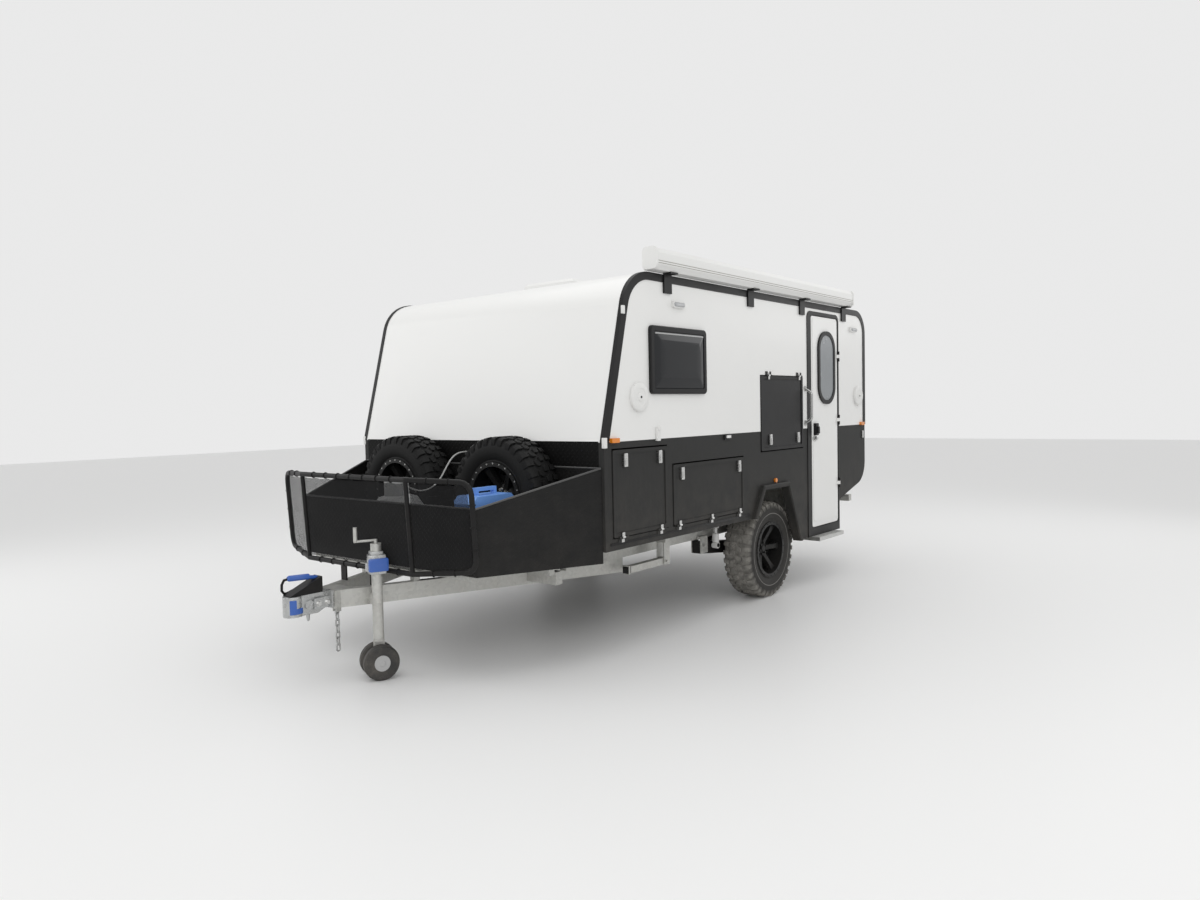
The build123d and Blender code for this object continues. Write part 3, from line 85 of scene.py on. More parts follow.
def step(tree, kind, settings=None, **sockets):
    return addNode(tree, "ShaderNode" + kind, settings, sockets)


def geo(tree, kind, settings=None, **sockets):
    return addNode(tree, "GeometryNode" + kind, settings, sockets)


def maths(tree, operation, first, second=0.0):
    return step(tree, "Math", {"operation": operation}, i0=first, i1=second).outputs[0]


def times(tree, first, second):
    return maths(tree, "MULTIPLY", first, second)


def plus(tree, first, second):
    return maths(tree, "ADD", first, second)


def minus(tree, first, second):
    return maths(tree, "SUBTRACT", first, second)


def mixOf(tree, first, second, share):
    return plus(tree, times(tree, first, share), times(tree, second, 1 - share))


def remap(tree, value, low, high, toLow=0.0, toHigh=1.0):
    return step(tree, "MapRange", {"clamp": True}, Value=value, From_Min=low, From_Max=high, To_Min=toLow,
                To_Max=toHigh).outputs[0]


def blendColour(tree, factor, first, second, mode="MIX"):
    return step(tree, "Mix", {"data_type": "RGBA", "blend_type": mode}, i0=factor, i6=first,
                i7=second).outputs[2]


def objectPlace(tree):
    return step(tree, "TexCoord").outputs["Object"]


def stretched(tree, scale):
    return step(tree, "Mapping", Vector=objectPlace(tree), Scale=scale).outputs[0]


def noise(tree, place, scale, detail, roughness=0.5):
    return step(tree, "TexNoise", Vector=place, Scale=scale, Detail=detail, Roughness=roughness).outputs[0]


# Camera and studio
camera = {"place": at(-3.8597, 4.2654, 0.8454), "yaw": 0.6836, "pitch": 0.049, "roll": -0.0212,
          "lens": 25.66, "sensor": 36.0, "farthest": 200}
studio = {"floorColour": (0.88, 0.88, 0.875), "floorRoughness": 0.45, "floorSize": 60.0,
          "skyLight": 0.75, "skySeen": 0.82,
          "lamps": (("overhead", (0.6, 0.4, 5.6), (0, 0, 0.8), 7.0, 70.0),
                    ("key", (6.4, 6.2, 4.4), (0, 0, 1.0), 5.0, 105.0),
                    ("fill", (4.8, -5.6, 3.6), (0.6, 0, 1.0), 4.5, 56.0),
                    ("rear", (-6.4, 3.4, 4.2), (-1.0, 0, 1.2), 4.0, 40.0))}


def makeCamera():
    yaw, pitch, roll = camera["yaw"], camera["pitch"], camera["roll"]
    ahead = Vector((-math.cos(yaw), -math.sin(yaw), 0))
    right = Vector((-math.sin(yaw), math.cos(yaw), 0))
    up = Vector((0, 0, 1))
    look = ahead * math.cos(pitch) - up * math.sin(pitch)
    above = up * math.cos(pitch) + ahead * math.sin(pitch)
    side = right * math.cos(roll) + above * math.sin(roll)
    top = above * math.cos(roll) - right * math.sin(roll)
    lens = bpy.data.cameras.new("photoCamera")
    lens.lens, lens.sensor_width = camera["lens"], camera["sensor"]
    lens.clip_end = camera["farthest"]
    holder = bpy.data.objects.new("photoCamera", lens)
    turn = Matrix((side, top, -look)).transposed()
    holder.matrix_world = Matrix.Translation(camera["place"]) @ turn.to_4x4()
    scene.collection.objects.link(holder)
    scene.camera = holder


def makeSky():
    world = bpy.data.worlds.new("studioSky")
    scene.world = world
    world.use_nodes = True
    tree = world.node_tree
    tree.nodes.clear()
    light, seen = (step(tree, "Background", Color=(1, 1, 1, 1), Strength=studio[key]).outputs[0]
                   for key in ("skyLight", "skySeen"))
    path = step(tree, "LightPath").outputs
    lookedAt = maths(tree, "MAXIMUM", path["Is Camera Ray"], path["Is Transmission Ray"])
    mixed = step(tree, "MixShader", i0=lookedAt, i1=light, i2=seen).outputs[0]
    step(tree, "OutputWorld", Surface=mixed)


def makeLamps():
    for name, spot, target, size, power in studio["lamps"]:
        lamp = bpy.data.lights.new(name, "AREA")
        lamp.shape, lamp.size, lamp.energy = "DISK", size, power
        holder = bpy.data.objects.new(name, lamp)
        holder.location = spot
        holder.rotation_euler = (Vector(target) - Vector(spot)).to_track_quat("-Z", "Y").to_euler()
        scene.collection.objects.link(holder)


def makeFloor():
    half = studio["floorSize"] / 2
    sheet = bpy.data.meshes.new("floor")
    corners = [(-half, -half, 0), (half, -half, 0), (half, half, 0), (-half, half, 0)]
    sheet.from_pydata(corners, [], [(0, 1, 2, 3)])
    floor = bpy.data.objects.new("floor", sheet)
    scene.collection.objects.link(floor)
    paint = bpy.data.materials.new("paleFloor")
    paint.use_nodes = True
    shader = paint.node_tree.nodes["Principled BSDF"]
    shader.inputs["Base Color"].default_value = (*studio["floorColour"], 1)
    shader.inputs["Roughness"].default_value = studio["floorRoughness"]
    sheet.materials.append(paint)


scene.view_settings.view_transform = "Standard"
makeCamera()
makeSky()
makeLamps()
makeFloor()
print("camera and studio ready")


# Shader groups shared by the finishes
def nodeGroup(name, inputs, outputs):
    tree = bpy.data.node_groups.new(name, "ShaderNodeTree")
    for label, kind, value in inputs:
        socket = tree.interface.new_socket(name=label, in_out="INPUT", socket_type="NodeSocket" + kind)
        socket.default_value = value
    for label, kind in outputs:
        tree.interface.new_socket(name=label, in_out="OUTPUT", socket_type="NodeSocket" + kind)
    return tree, tree.nodes.new("NodeGroupInput"), tree.nodes.new("NodeGroupOutput")


def toneGroup(name, *extra):
    inputs = (("Color", "Color", (0.5, 0.5, 0.5, 1)), ("Amount", "Float", 0.1)) + extra
    return nodeGroup(name, inputs, (("Color", "Color"), ("Value", "Float")))


def shadeBy(tree, into, out, value, strength):  # lighter and darker by a value round one half
    swing = times(tree, minus(tree, value, 0.5), times(tree, into.outputs["Amount"], strength))
    gain = plus(tree, swing, 1.0)
    tone = step(tree, "CombineColor", Red=gain, Green=gain, Blue=gain).outputs[0]
    plug(tree, out, "Color", blendColour(tree, 1.0, into.outputs["Color"], tone, "MULTIPLY"))
    plug(tree, out, "Value", value)
    return tree


def buildMottle():  # uneven tone, such as hand marks and weathering
    tree, into, out = toneGroup("mottle", ("Scale", "Float", 4.0))
    place = objectPlace(tree)
    broad = noise(tree, place, into.outputs["Scale"], 5.0, 0.6)
    fine = noise(tree, place, 90.0, 2.0)
    return shadeBy(tree, into, out, mixOf(tree, broad, fine, 0.75), 2.0)


def buildUprightGrain():  # fine upright grain of the dark composite skin
    tree, into, out = toneGroup("uprightGrain")
    fine = noise(tree, stretched(tree, (420, 420, 14)), 1.0, 2.0)
    broad = noise(tree, stretched(tree, (110, 110, 5)), 1.0, 3.0)
    return shadeBy(tree, into, out, mixOf(tree, fine, broad, 0.6), 3.0)


def buildSpangle():  # zinc crystals of hot dip galvanising
    tree, into, out = toneGroup("zincSpangle", ("Scale", "Float", 60.0))
    place = objectPlace(tree)
    cells = step(tree, "TexVoronoi", Vector=place, Scale=into.outputs["Scale"]).outputs["Color"]
    crystal = step(tree, "SeparateColor", Color=cells).outputs[0]
    stain = noise(tree, place, 9.0, 6.0, 0.7)
    return shadeBy(tree, into, out, mixOf(tree, crystal, stain, 0.5), 2.0)


def buildRoadDust():  # pale dust that thickens towards the ground
    inputs = (("Color", "Color", (0.5, 0.5, 0.5, 1)), ("Dust", "Color", (0.33, 0.29, 0.24, 1)),
              ("Low", "Float", 0.3), ("High", "Float", 1.2), ("Amount", "Float", 0.4))
    tree, into, out = nodeGroup("roadDust", inputs, (("Color", "Color"), ("Mask", "Float")))
    place = objectPlace(tree)
    height = step(tree, "SeparateXYZ", Vector=place).outputs["Z"]
    reach = remap(tree, height, into.outputs["Low"], into.outputs["High"], 1.0, 0.0)
    cloud = noise(tree, place, 7.0, 6.0, 0.65)
    speck = noise(tree, place, 140.0, 2.0)
    patchy = times(tree, remap(tree, cloud, 0.35, 0.7), remap(tree, speck, 0.25, 0.65, 0.4, 1.0))
    mask = times(tree, times(tree, reach, patchy), into.outputs["Amount"])
    plug(tree, out, "Color", blendColour(tree, mask, into.outputs["Color"], into.outputs["Dust"]))
    plug(tree, out, "Mask", mask)
    return tree


def buildTreadPlate():  # raised lozenges of tread plate, on upright faces
    tree, into, out = nodeGroup("treadPlate", (("Pitch", "Float", 30.0),), (("Height", "Float"),))
    axes = step(tree, "SeparateXYZ", Vector=objectPlace(tree))
    x, y, rise = (times(tree, axes.outputs[axis], into.outputs["Pitch"]) for axis in "XYZ")
    flat = plus(tree, x, y)
    cells = []
    for shift, turn in ((0.0, 1.0), (0.5, -1.0)):
        u, v = (minus(tree, maths(tree, "FRACT", plus(tree, run, shift)), 0.5) for run in (flat, rise))
        lean = times(tree, v, turn)
        long = times(tree, plus(tree, u, lean), 1.6)
        wide = times(tree, minus(tree, u, lean), 4.2)
        reach = maths(tree, "SQRT", plus(tree, times(tree, long, long), times(tree, wide, wide)))
        cells.append(remap(tree, reach, 0.35, 0.75, 1.0, 0.0))
    plug(tree, out, "Height", maths(tree, "MAXIMUM", *cells))
    return tree


groups = {"mottle": buildMottle(), "roadDust": buildRoadDust(), "uprightGrain": buildUprightGrain(),
          "zincSpangle": buildSpangle(), "treadPlate": buildTreadPlate()}


def useGroup(tree, name, **sockets):
    return step(tree, "Group", {"node_tree": groups[name]}, **sockets)


# Finishes
finishes = {}


def finish(name, colour, roughness, metallic=0.0, coat=0.0, specular=0.5):
    made = bpy.data.materials.new(name)
    made.use_nodes = True
    tree = made.node_tree
    shader = tree.nodes["Principled BSDF"]
    values = {"Base Color": (*colour, 1), "Roughness": roughness, "Metallic": metallic, "Coat Weight": coat,
              "Coat Roughness": 0.08, "Specular IOR Level": specular}
    for label, value in values.items():
        plug(tree, shader, label, value)
    finishes[name] = made
    return tree, shader


def bump(tree, shader, height, strength, distance):
    relief = step(tree, "Bump", Height=height, Strength=strength, Distance=distance)
    plug(tree, shader, "Normal", relief.outputs[0])


def grime(tree, shader, colour, amount, scale, low, high, dust, rough):
    tone = useGroup(tree, "mottle", Color=colour, Scale=scale, Amount=amount)
    dusty = useGroup(tree, "roadDust", Color=tone.outputs["Color"], Low=low, High=high, Amount=dust)
    plug(tree, shader, "Base Color", dusty.outputs["Color"])
    gloss = remap(tree, tone.outputs["Value"], 0.3, 0.7, *rough)
    plug(tree, shader, "Roughness", plus(tree, gloss, times(tree, dusty.outputs["Mask"], 0.4)))
    return tone


def makePainted(name, colour, rough, coat=0.0, amount=0.08, dust=0.2, low=0.2, high=1.4, ripple=0.0,
                scale=3.0, specular=0.5, spread=0.07):
    tree, shader = finish(name, colour, rough, coat=coat, specular=specular)
    limits = rough - spread, rough + spread
    tone = grime(tree, shader, (*colour, 1), amount, scale, low, high, dust, limits)
    if ripple:
        bump(tree, shader, tone.outputs["Value"], ripple, 0.002)


def makeGrained(name, colour, rough):
    tree, shader = finish(name, colour, rough, specular=0.2)
    grain = useGroup(tree, "uprightGrain", Color=(*colour, 1), Amount=0.5)
    dusty = useGroup(tree, "roadDust", Color=grain.outputs["Color"], Low=0.35, High=1.15, Amount=0.16)
    plug(tree, shader, "Base Color", dusty.outputs["Color"])
    gloss = remap(tree, grain.outputs["Value"], 0.3, 0.7, rough - 0.08, rough + 0.1)
    plug(tree, shader, "Roughness", gloss)
    bump(tree, shader, grain.outputs["Value"], 0.35, 0.0015)


def makeGalvanised(name, colour, rough, metallic, amount=0.22):
    tree, shader = finish(name, colour, rough, metallic)
    zinc = useGroup(tree, "zincSpangle", Color=(*colour, 1), Scale=55.0, Amount=amount)
    dusty = useGroup(tree, "roadDust", Color=zinc.outputs["Color"], Low=0.1, High=0.9, Amount=0.3)
    plug(tree, shader, "Base Color", dusty.outputs["Color"])
    gloss = remap(tree, zinc.outputs["Value"], 0.3, 0.7, rough - 0.1, rough + 0.14)
    plug(tree, shader, "Roughness", gloss)


def makeBrushed(name, colour, rough):
    tree, shader = finish(name, colour, rough, 1.0)
    lines = noise(tree, stretched(tree, (30, 30, 900)), 1.0, 2.0)
    plug(tree, shader, "Roughness", remap(tree, lines, 0.3, 0.7, rough - 0.07, rough + 0.12))
    tone = useGroup(tree, "mottle", Color=(*colour, 1), Scale=14.0, Amount=0.16)
    plug(tree, shader, "Base Color", tone.outputs["Color"])


def makePlate(name, colour, rough, pitch, depth, specular=0.2):
    tree, shader = finish(name, colour, rough, specular=specular)
    grime(tree, shader, (*colour, 1), 0.25, 5.0, 0.3, 1.3, 0.06, (rough - 0.06, rough + 0.1))
    plate = useGroup(tree, "treadPlate", Pitch=pitch)
    bump(tree, shader, plate.outputs["Height"], 0.55, depth)


tyreMarks = {"dust": (0.31, 0.298, 0.272, 1), "dustFrom": 0.318, "dustFull": 0.36,
             "line": (0.30, 0.29, 0.275, 1), "lineRadius": 0.281, "lineHalf": (0.0014, 0.0026),
             "lineShare": 0.8}


def makeTyre(name, centre, axis, dust, rubber):
    tree, shader = finish(name, rubber, 0.62, specular=0.18)
    place = objectPlace(tree)
    local = step(tree, "Mapping", Vector=place, Location=[-value for value in centre]).outputs[0]
    across = [0.0 if value else 1.0 for value in axis]
    flat = step(tree, "VectorMath", {"operation": "MULTIPLY"}, i0=local, i1=across).outputs[0]
    radius = step(tree, "VectorMath", {"operation": "LENGTH"}, i0=flat).outputs["Value"]
    worn = remap(tree, radius, tyreMarks["dustFrom"], tyreMarks["dustFull"])  # the tread holds the dust
    cloud = noise(tree, place, 22.0, 6.0, 0.7)
    held = plus(tree, times(tree, worn, 0.92), 0.08)
    mask = times(tree, times(tree, held, remap(tree, cloud, 0.25, 0.62, 0.35, 1.0)), dust)
    away = maths(tree, "ABSOLUTE", minus(tree, radius, tyreMarks["lineRadius"]))
    share = tyreMarks["lineShare"] if dust else 0.0
    line = times(tree, remap(tree, away, *tyreMarks["lineHalf"], 1.0, 0.0), share)
    soiled = blendColour(tree, mask, (*rubber, 1), tyreMarks["dust"])
    plug(tree, shader, "Base Color", blendColour(tree, line, soiled, tyreMarks["line"]))
    plug(tree, shader, "Roughness", plus(tree, times(tree, mask, 0.3), 0.55))
    bump(tree, shader, noise(tree, place, 260.0, 3.0), 0.3, 0.001)


def makeLens(name, colour):
    tree, shader = finish(name, colour, 0.12, coat=0.5)
    bands = {"wave_type": "BANDS", "bands_direction": "X"}
    ribs = step(tree, "TexWave", bands, Vector=objectPlace(tree), Scale=60.0).outputs[1]
    dim = tuple(0.55 * value for value in colour) + (1,)
    plug(tree, shader, "Base Color", blendColour(tree, times(tree, ribs, 0.35), (*colour, 1), dim))
    bump(tree, shader, ribs, 0.25, 0.002)


def makeNet(name, colour, pitch):
    tree, shader = finish(name, colour, 0.7, specular=0.12)
    axes = step(tree, "SeparateXYZ", Vector=objectPlace(tree))
    across = plus(tree, axes.outputs["Y"], times(tree, axes.outputs["X"], 0.35))
    strands = []
    for run in (across, axes.outputs["Z"]):
        saw = maths(tree, "FRACT", times(tree, run, 1.0 / pitch))
        gap = maths(tree, "ABSOLUTE", minus(tree, saw, 0.5))
        strands.append(maths(tree, "GREATER_THAN", gap, 0.27))
    plug(tree, shader, "Alpha", maths(tree, "MAXIMUM", *strands))
    tone = useGroup(tree, "mottle", Color=(*colour, 1), Scale=8.0, Amount=0.3)
    plug(tree, shader, "Base Color", tone.outputs["Color"])


wheelCentres = {}
for sideName in ("left", "right"):
    tyreLow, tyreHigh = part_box("tyre_" + sideName)
    wheelCentres[sideName] = (tyreLow + tyreHigh) / 2
spareLow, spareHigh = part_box("spare_tyres")
tyreRadius = (spareHigh.z - spareLow.z) / 2
tyreWidth = spareHigh.x - spareLow.x
spareMiddle = (spareLow + spareHigh) / 2
spareHalf = spareHigh.y - tyreRadius

makePainted("whiteSkin", (0.815, 0.815, 0.801), 0.29, coat=0.1, amount=0.015, dust=0.006, scale=1.4,
            spread=0.015)
makeGrained("charcoalSkin", (0.026, 0.026, 0.0252), 0.52)
makePainted("blackTrim", (0.010, 0.010, 0.0105), 0.4, amount=0.3, dust=0.05, ripple=0.08, specular=0.25)
makePainted("blackCoat", (0.009, 0.009, 0.0094), 0.42, amount=0.3, dust=0.06, ripple=0.1, specular=0.2)
makePlate("treadPlate", (0.011, 0.011, 0.011), 0.42, 26.0, 0.003)
# painted shade: the front panel's black tread plate, made darker than the crate's for the shade behind the
# spare tyres
makePlate("plateWithPaintedShade", (0.006, 0.006, 0.006), 0.5, 26.0, 0.003, 0.1)
# painted highlight: a lighter grey for the crate's rolled lip, for the light along its top edge, with mottle
# and a little dust
makePainted("paintedHighlightEdge", (0.07, 0.07, 0.07), 0.34, amount=0.2, dust=0.1)
makeGalvanised("galvanised", (0.53, 0.53, 0.505), 0.44, 0.6)
makeGalvanised("castZinc", (0.50, 0.51, 0.51), 0.34, 0.8, 0.3)
makePainted("bluePaint", (0.02, 0.105, 0.44), 0.3, coat=0.3, amount=0.2, dust=0.2)
makePainted("whiteMoulding", (0.76, 0.76, 0.745), 0.38, amount=0.04, dust=0.05)
makePainted("awningShell", (0.77, 0.77, 0.755), 0.33, amount=0.05, dust=0.0)
makeLens("amberLens", (0.80, 0.24, 0.012))
makeLens("redLens", (0.42, 0.012, 0.012))
makeLens("clearLens", (0.42, 0.43, 0.44))
makePainted("smokedPane", (0.010, 0.011, 0.013), 0.09, amount=0.2, dust=0.0, specular=0.34, spread=0.02)
makePainted("frostedPane", (0.235, 0.25, 0.262), 0.24, dust=0.0, scale=6.0)
# painted shade: the grey laid in the two grooves of the awning's case
makePainted("grooveShadeGrey", (0.34, 0.33, 0.30), 0.5, amount=0.1, dust=0.0)
makePainted("greyMoulding", (0.42, 0.42, 0.42), 0.45, dust=0.05)
makeTyre("dustyRubberLeft", wheelCentres["left"], (0, 1, 0), 0.85, (0.022, 0.021, 0.020))
makeTyre("dustyRubberRight", wheelCentres["right"], (0, 1, 0), 0.85, (0.022, 0.021, 0.020))
makeTyre("freshRubber", spareMiddle, (1, 0, 0), 0.0, (0.010, 0.010, 0.010))
makePainted("rimPaint", (0.012, 0.012, 0.012), 0.36, amount=0.3, dust=0.06, low=0.0, high=0.8, specular=0.26)
makeBrushed("stainless", (0.62, 0.62, 0.61), 0.24)
# painted shade: a darker copy of the brushed steel for the grab handle, for the dark shading on its chrome
makeBrushed("grabSteelWithPaintedShade", (0.44, 0.44, 0.435), 0.2)
makePainted("canPlastic", (0.15, 0.32, 0.72), 0.42, dust=0.0)
makePainted("bottlePaint", (0.36, 0.365, 0.36), 0.45, amount=0.2, dust=0.0)
makePainted("hoseRubber", (0.40, 0.40, 0.39), 0.5, amount=0.1, dust=0.0)
makeBrushed("treadAlloy", (0.60, 0.60, 0.585), 0.36)
makePainted("jackRubber", (0.022, 0.022, 0.022), 0.55, amount=0.2, dust=0.25, high=0.5)
makeNet("guardNet", (0.013, 0.013, 0.0135), 0.0032)

slotFinish = {"white_panel": "whiteSkin", "charcoal_panel": "charcoalSkin", "black_trim": "blackTrim",
              "galvanised": "galvanised", "black_steel": "blackCoat", "blue_steel": "bluePaint",
              "dark_pane": "frostedPane", "white_plastic": "whiteMoulding", "amber_lens": "amberLens",
              "red_lens": "redLens", "tyre_rubber": "freshRubber", "black_rim": "rimPaint",
              "stainless": "stainless", "can_plastic": "canPlastic", "bottle_steel": "bottlePaint",
              "guard_net": "guardNet", "hose_rubber": "hoseRubber", "step_alloy": "treadAlloy",
              "jack_plastic": "jackRubber", "awning_shell": "awningShell"}
# the front panel takes the plate darkened as painted shade
nodeFinish = {"crate": "treadPlate", "coupling": "castZinc", "front_panel": "plateWithPaintedShade",
              # the grab handle takes the steel darkened as painted shade
              "hatch_hinges": "charcoalSkin", "grab_handle": "grabSteelWithPaintedShade"}
for row in frame["record"]["subparts"]:
    name = row["node"]
    paint = finishes[nodeFinish.get(name, slotFinish[row["material_slot"]])]
    nodes[name].data.materials.clear()
    nodes[name].data.materials.append(paint)
print("finishes on", len(nodes), "nodes")


# Mesh helpers
weld = 1e-5  # metres
softEdge = 35.0  # degrees, edges sharper than this stay crisp


def rawMesh(shape, name):
    mesh = bpy.data.meshes.new(name)
    shape.to_mesh(mesh)
    shape.free()
    return mesh


def toMesh(shape, name):
    bmesh.ops.remove_doubles(shape, verts=shape.verts, dist=weld)
    bmesh.ops.recalc_face_normals(shape, faces=shape.faces)
    return rawMesh(shape, name)


def place(name, shape, paint, body, slotName=None, smooth=softEdge):
    mesh = shape if isinstance(shape, bpy.types.Mesh) else toMesh(shape, name)
    holder = bpy.data.objects.new(name, mesh)
    scene.collection.objects.link(holder)
    mesh.materials.clear()
    mesh.materials.append(finishes[paint])
    if smooth is not None:
        mesh.polygons.foreach_set("use_smooth", [True] * len(mesh.polygons))
        mesh.set_sharp_from_angle(angle=math.radians(smooth))
    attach(holder, body)
    return holder


def skinLoops(shape, loops, closed=False):
    rings = [[shape.verts.new(point) for point in loop] for loop in loops]
    pairs = list(zip(rings, rings[1:])) + ([(rings[-1], rings[0])] if closed else [])
    for near, far in pairs:
        count = len(near)
        for index in range(count):
            after = (index + 1) % count
            shape.faces.new((near[index], near[after], far[after], far[index]))
    if not closed:
        shape.faces.new(rings[0])
        shape.faces.new(list(reversed(rings[-1])))


def frameFor(axis):
    axis = Vector(axis).normalized()
    side = axis.orthogonal().normalized()
    return axis, side, axis.cross(side)


def circle(middle, side, other, radius, count):
    turns = (2 * math.pi * index / count for index in range(count))
    return [middle + (side * math.cos(turn) + other * math.sin(turn)) * radius for turn in turns]


def scaled(profile, radius):  # shares of a radius along an axis
    return [(along, share * radius) for along, share in profile]


def lathe(shape, centre, axis, profile, count=48, closed=False):
    axis, side, other = frameFor(axis)
    loops = [circle(Vector(centre) + axis * along, side, other, max(radius, weld), count)
             for along, radius in profile]
    skinLoops(shape, loops, closed)


def tube(shape, points, radius, count=12, closed=False):
    total = len(points)
    loops, side = [], None
    for index, point in enumerate(points):
        before = points[index - 1] if closed or index else point
        after = points[(index + 1) % total] if closed or index < total - 1 else point
        ahead = (after - before).normalized()
        if side is None:
            side = ahead.orthogonal().normalized()
        else:
            side = (side - ahead * side.dot(ahead)).normalized()
        loops.append(circle(point, side, ahead.cross(side), radius, count))
    skinLoops(shape, loops, closed)


def roundedLoop(width, height, radius, steps=8):
    points = []
    for cornerX, cornerZ, start in ((1, 1, 0), (-1, 1, 90), (-1, -1, 180), (1, -1, 270)):
        for index in range(steps + 1):
            turn = math.radians(start + 90 * index / steps)
            points.append((cornerX * (width / 2 - radius) + radius * math.cos(turn),
                           cornerZ * (height / 2 - radius) + radius * math.sin(turn)))
    return points


def slab(shape, low, high, bevel=0.0):
    made = bmesh.ops.create_cube(shape, size=1.0)
    for vert in made["verts"]:
        vert.co = Vector(low[axis] + (vert.co[axis] + 0.5) * (high[axis] - low[axis]) for axis in range(3))
    if bevel:
        edges = list({edge for vert in made["verts"] for edge in vert.link_edges})
        bmesh.ops.bevel(shape, geom=edges, offset=bevel, segments=2, affect="EDGES", profile=0.6)


def slabs(name, boxes, paint, body, slotName, bevel=0.003):
    shape = bmesh.new()
    for corners in boxes:
        low, high = ([pick(pair) for pair in zip(*corners)] for pick in (min, max))
        slab(shape, low, high, bevel)
    return place(name, shape, paint, body, slotName)


def turnedPieces(name, rows, paint, body, slotName, count=40):
    shape = bmesh.new()
    for centre, axis, profile in rows:
        lathe(shape, centre, axis, profile, count)
    return place(name, shape, paint, body, slotName)


# Geometry Nodes helpers
def nodeTree(name, inputs):
    tree = bpy.data.node_groups.new(name, "GeometryNodeTree")
    tree.interface.new_socket(name="Geometry", in_out="INPUT", socket_type="NodeSocketGeometry")
    for label, kind, value in inputs:
        socket = tree.interface.new_socket(name=label, in_out="INPUT", socket_type="NodeSocket" + kind)
        if value is not None:
            socket.default_value = value
    tree.interface.new_socket(name="Material", in_out="INPUT", socket_type="NodeSocketMaterial")
    tree.interface.new_socket(name="Geometry", in_out="OUTPUT", socket_type="NodeSocketGeometry")
    return tree, tree.nodes.new("NodeGroupInput"), tree.nodes.new("NodeGroupOutput")


def closeTree(tree, into, out, points, item, turn):  # one item on each point, made real and painted
    spread = geo(tree, "InstanceOnPoints", Points=points, Instance=item, Rotation=turn)
    real = geo(tree, "RealizeInstances", Geometry=spread.outputs[0])
    painted = geo(tree, "SetMaterial", Geometry=real.outputs[0], Material=into.outputs["Material"])
    tree.links.new(painted.outputs[0], out.inputs[0])
    return tree


def pointVector(tree, name):
    return geo(tree, "InputNamedAttribute", {"data_type": "FLOAT_VECTOR"}, Name=name).outputs[0]


def buildBoltTree():  # hex heads with a washer, standing on points along their outward attribute
    tree, into, out = nodeTree("hexBolts", (("Radius", "Float", 0.008), ("Height", "Float", 0.007),
                                            ("Sides", "Int", 6)))
    radius, height = into.outputs["Radius"], into.outputs["Height"]
    head = geo(tree, "MeshCylinder", Vertices=into.outputs["Sides"], Radius=radius, Depth=height)
    lift = step(tree, "CombineXYZ", Z=times(tree, height, 0.75))
    raised = geo(tree, "Transform", Geometry=head.outputs["Mesh"], Translation=lift.outputs[0])
    washer = geo(tree, "MeshCylinder", Vertices=16, Radius=times(tree, radius, 1.45),
                 Depth=times(tree, height, 0.5))
    both = geo(tree, "JoinGeometry")
    for item in (raised.outputs[0], washer.outputs["Mesh"]):
        tree.links.new(item, both.inputs[0])
    turn = addNode(tree, "FunctionNodeAlignRotationToVector", {"axis": "Z"},
                   {"Vector": pointVector(tree, "outward")})
    return closeTree(tree, into, out, into.outputs["Geometry"], both.outputs[0], turn.outputs[0])


def buildScatterTree():  # one item on each point, turned by the point's own angles
    tree, into, out = nodeTree("scatterItems", (("Item", "Object", None),))
    info = geo(tree, "ObjectInfo", Object=into.outputs["Item"])
    turn = pointVector(tree, "turn")
    return closeTree(tree, into, out, into.outputs["Geometry"], info.outputs["Geometry"], turn)


def buildTreadTree():  # one pitch of lugs repeated round the wheel's axle
    tree, into, out = nodeTree("mudTread", (("Pitch", "Object", None), ("Count", "Int", 17)))
    spots = geo(tree, "Points", Count=into.outputs["Count"])
    info = geo(tree, "ObjectInfo", Object=into.outputs["Pitch"])
    share = maths(tree, "DIVIDE", geo(tree, "InputIndex").outputs[0], into.outputs["Count"])
    angles = step(tree, "CombineXYZ", Y=times(tree, share, 2 * math.pi))
    return closeTree(tree, into, out, spots.outputs[0], info.outputs["Geometry"], angles.outputs[0])


boltTree, scatterTree, treadTree = buildBoltTree(), buildScatterTree(), buildTreadTree()


def runTree(name, base, tree, values, paint, body, slotName=None, smooth=softEdge):
    holder = bpy.data.objects.new(name + "Maker", base)
    scene.collection.objects.link(holder)
    made = holder.modifiers.new("make", "NODES")
    made.node_group = tree
    values = {**values, "Material": finishes[paint]}
    for item in tree.interface.items_tree:
        if item.in_out == "INPUT" and item.name in values:
            made[item.identifier] = values[item.name]
    bpy.context.view_layer.update()
    ready = holder.evaluated_get(bpy.context.evaluated_depsgraph_get())
    mesh = bpy.data.meshes.new_from_object(ready)
    holder.modifiers.remove(made)
    bpy.data.objects.remove(holder)
    mesh.name = name
    return place(name, mesh, paint, body, slotName, smooth)


def spotMesh(name, spots, label):  # points that each carry a vector
    mesh = bpy.data.meshes.new(name)
    mesh.from_pydata([tuple(point) for point, vector in spots], [], [])
    vectors = mesh.attributes.new(label, "FLOAT_VECTOR", "POINT")
    vectors.data.foreach_set("vector", [value for point, vector in spots for value in vector])
    return mesh


def bolts(name, spots, size, paint, body, slotName):
    radius, height = size
    return runTree(name, spotMesh(name, spots, "outward"), boltTree, {"Radius": radius, "Height": height},
                   paint, body, slotName, 30.0)


def scatter(name, spots, item, paint, body, slotName, smooth=softEdge):
    holder = bpy.data.objects.new(name + "Item", toMesh(item, name + "Item"))
    scene.collection.objects.link(holder)
    made = runTree(name, spotMesh(name, spots, "turn"), scatterTree, {"Item": holder}, paint, body, slotName,
                   smooth)
    bpy.data.objects.remove(holder)
    return made


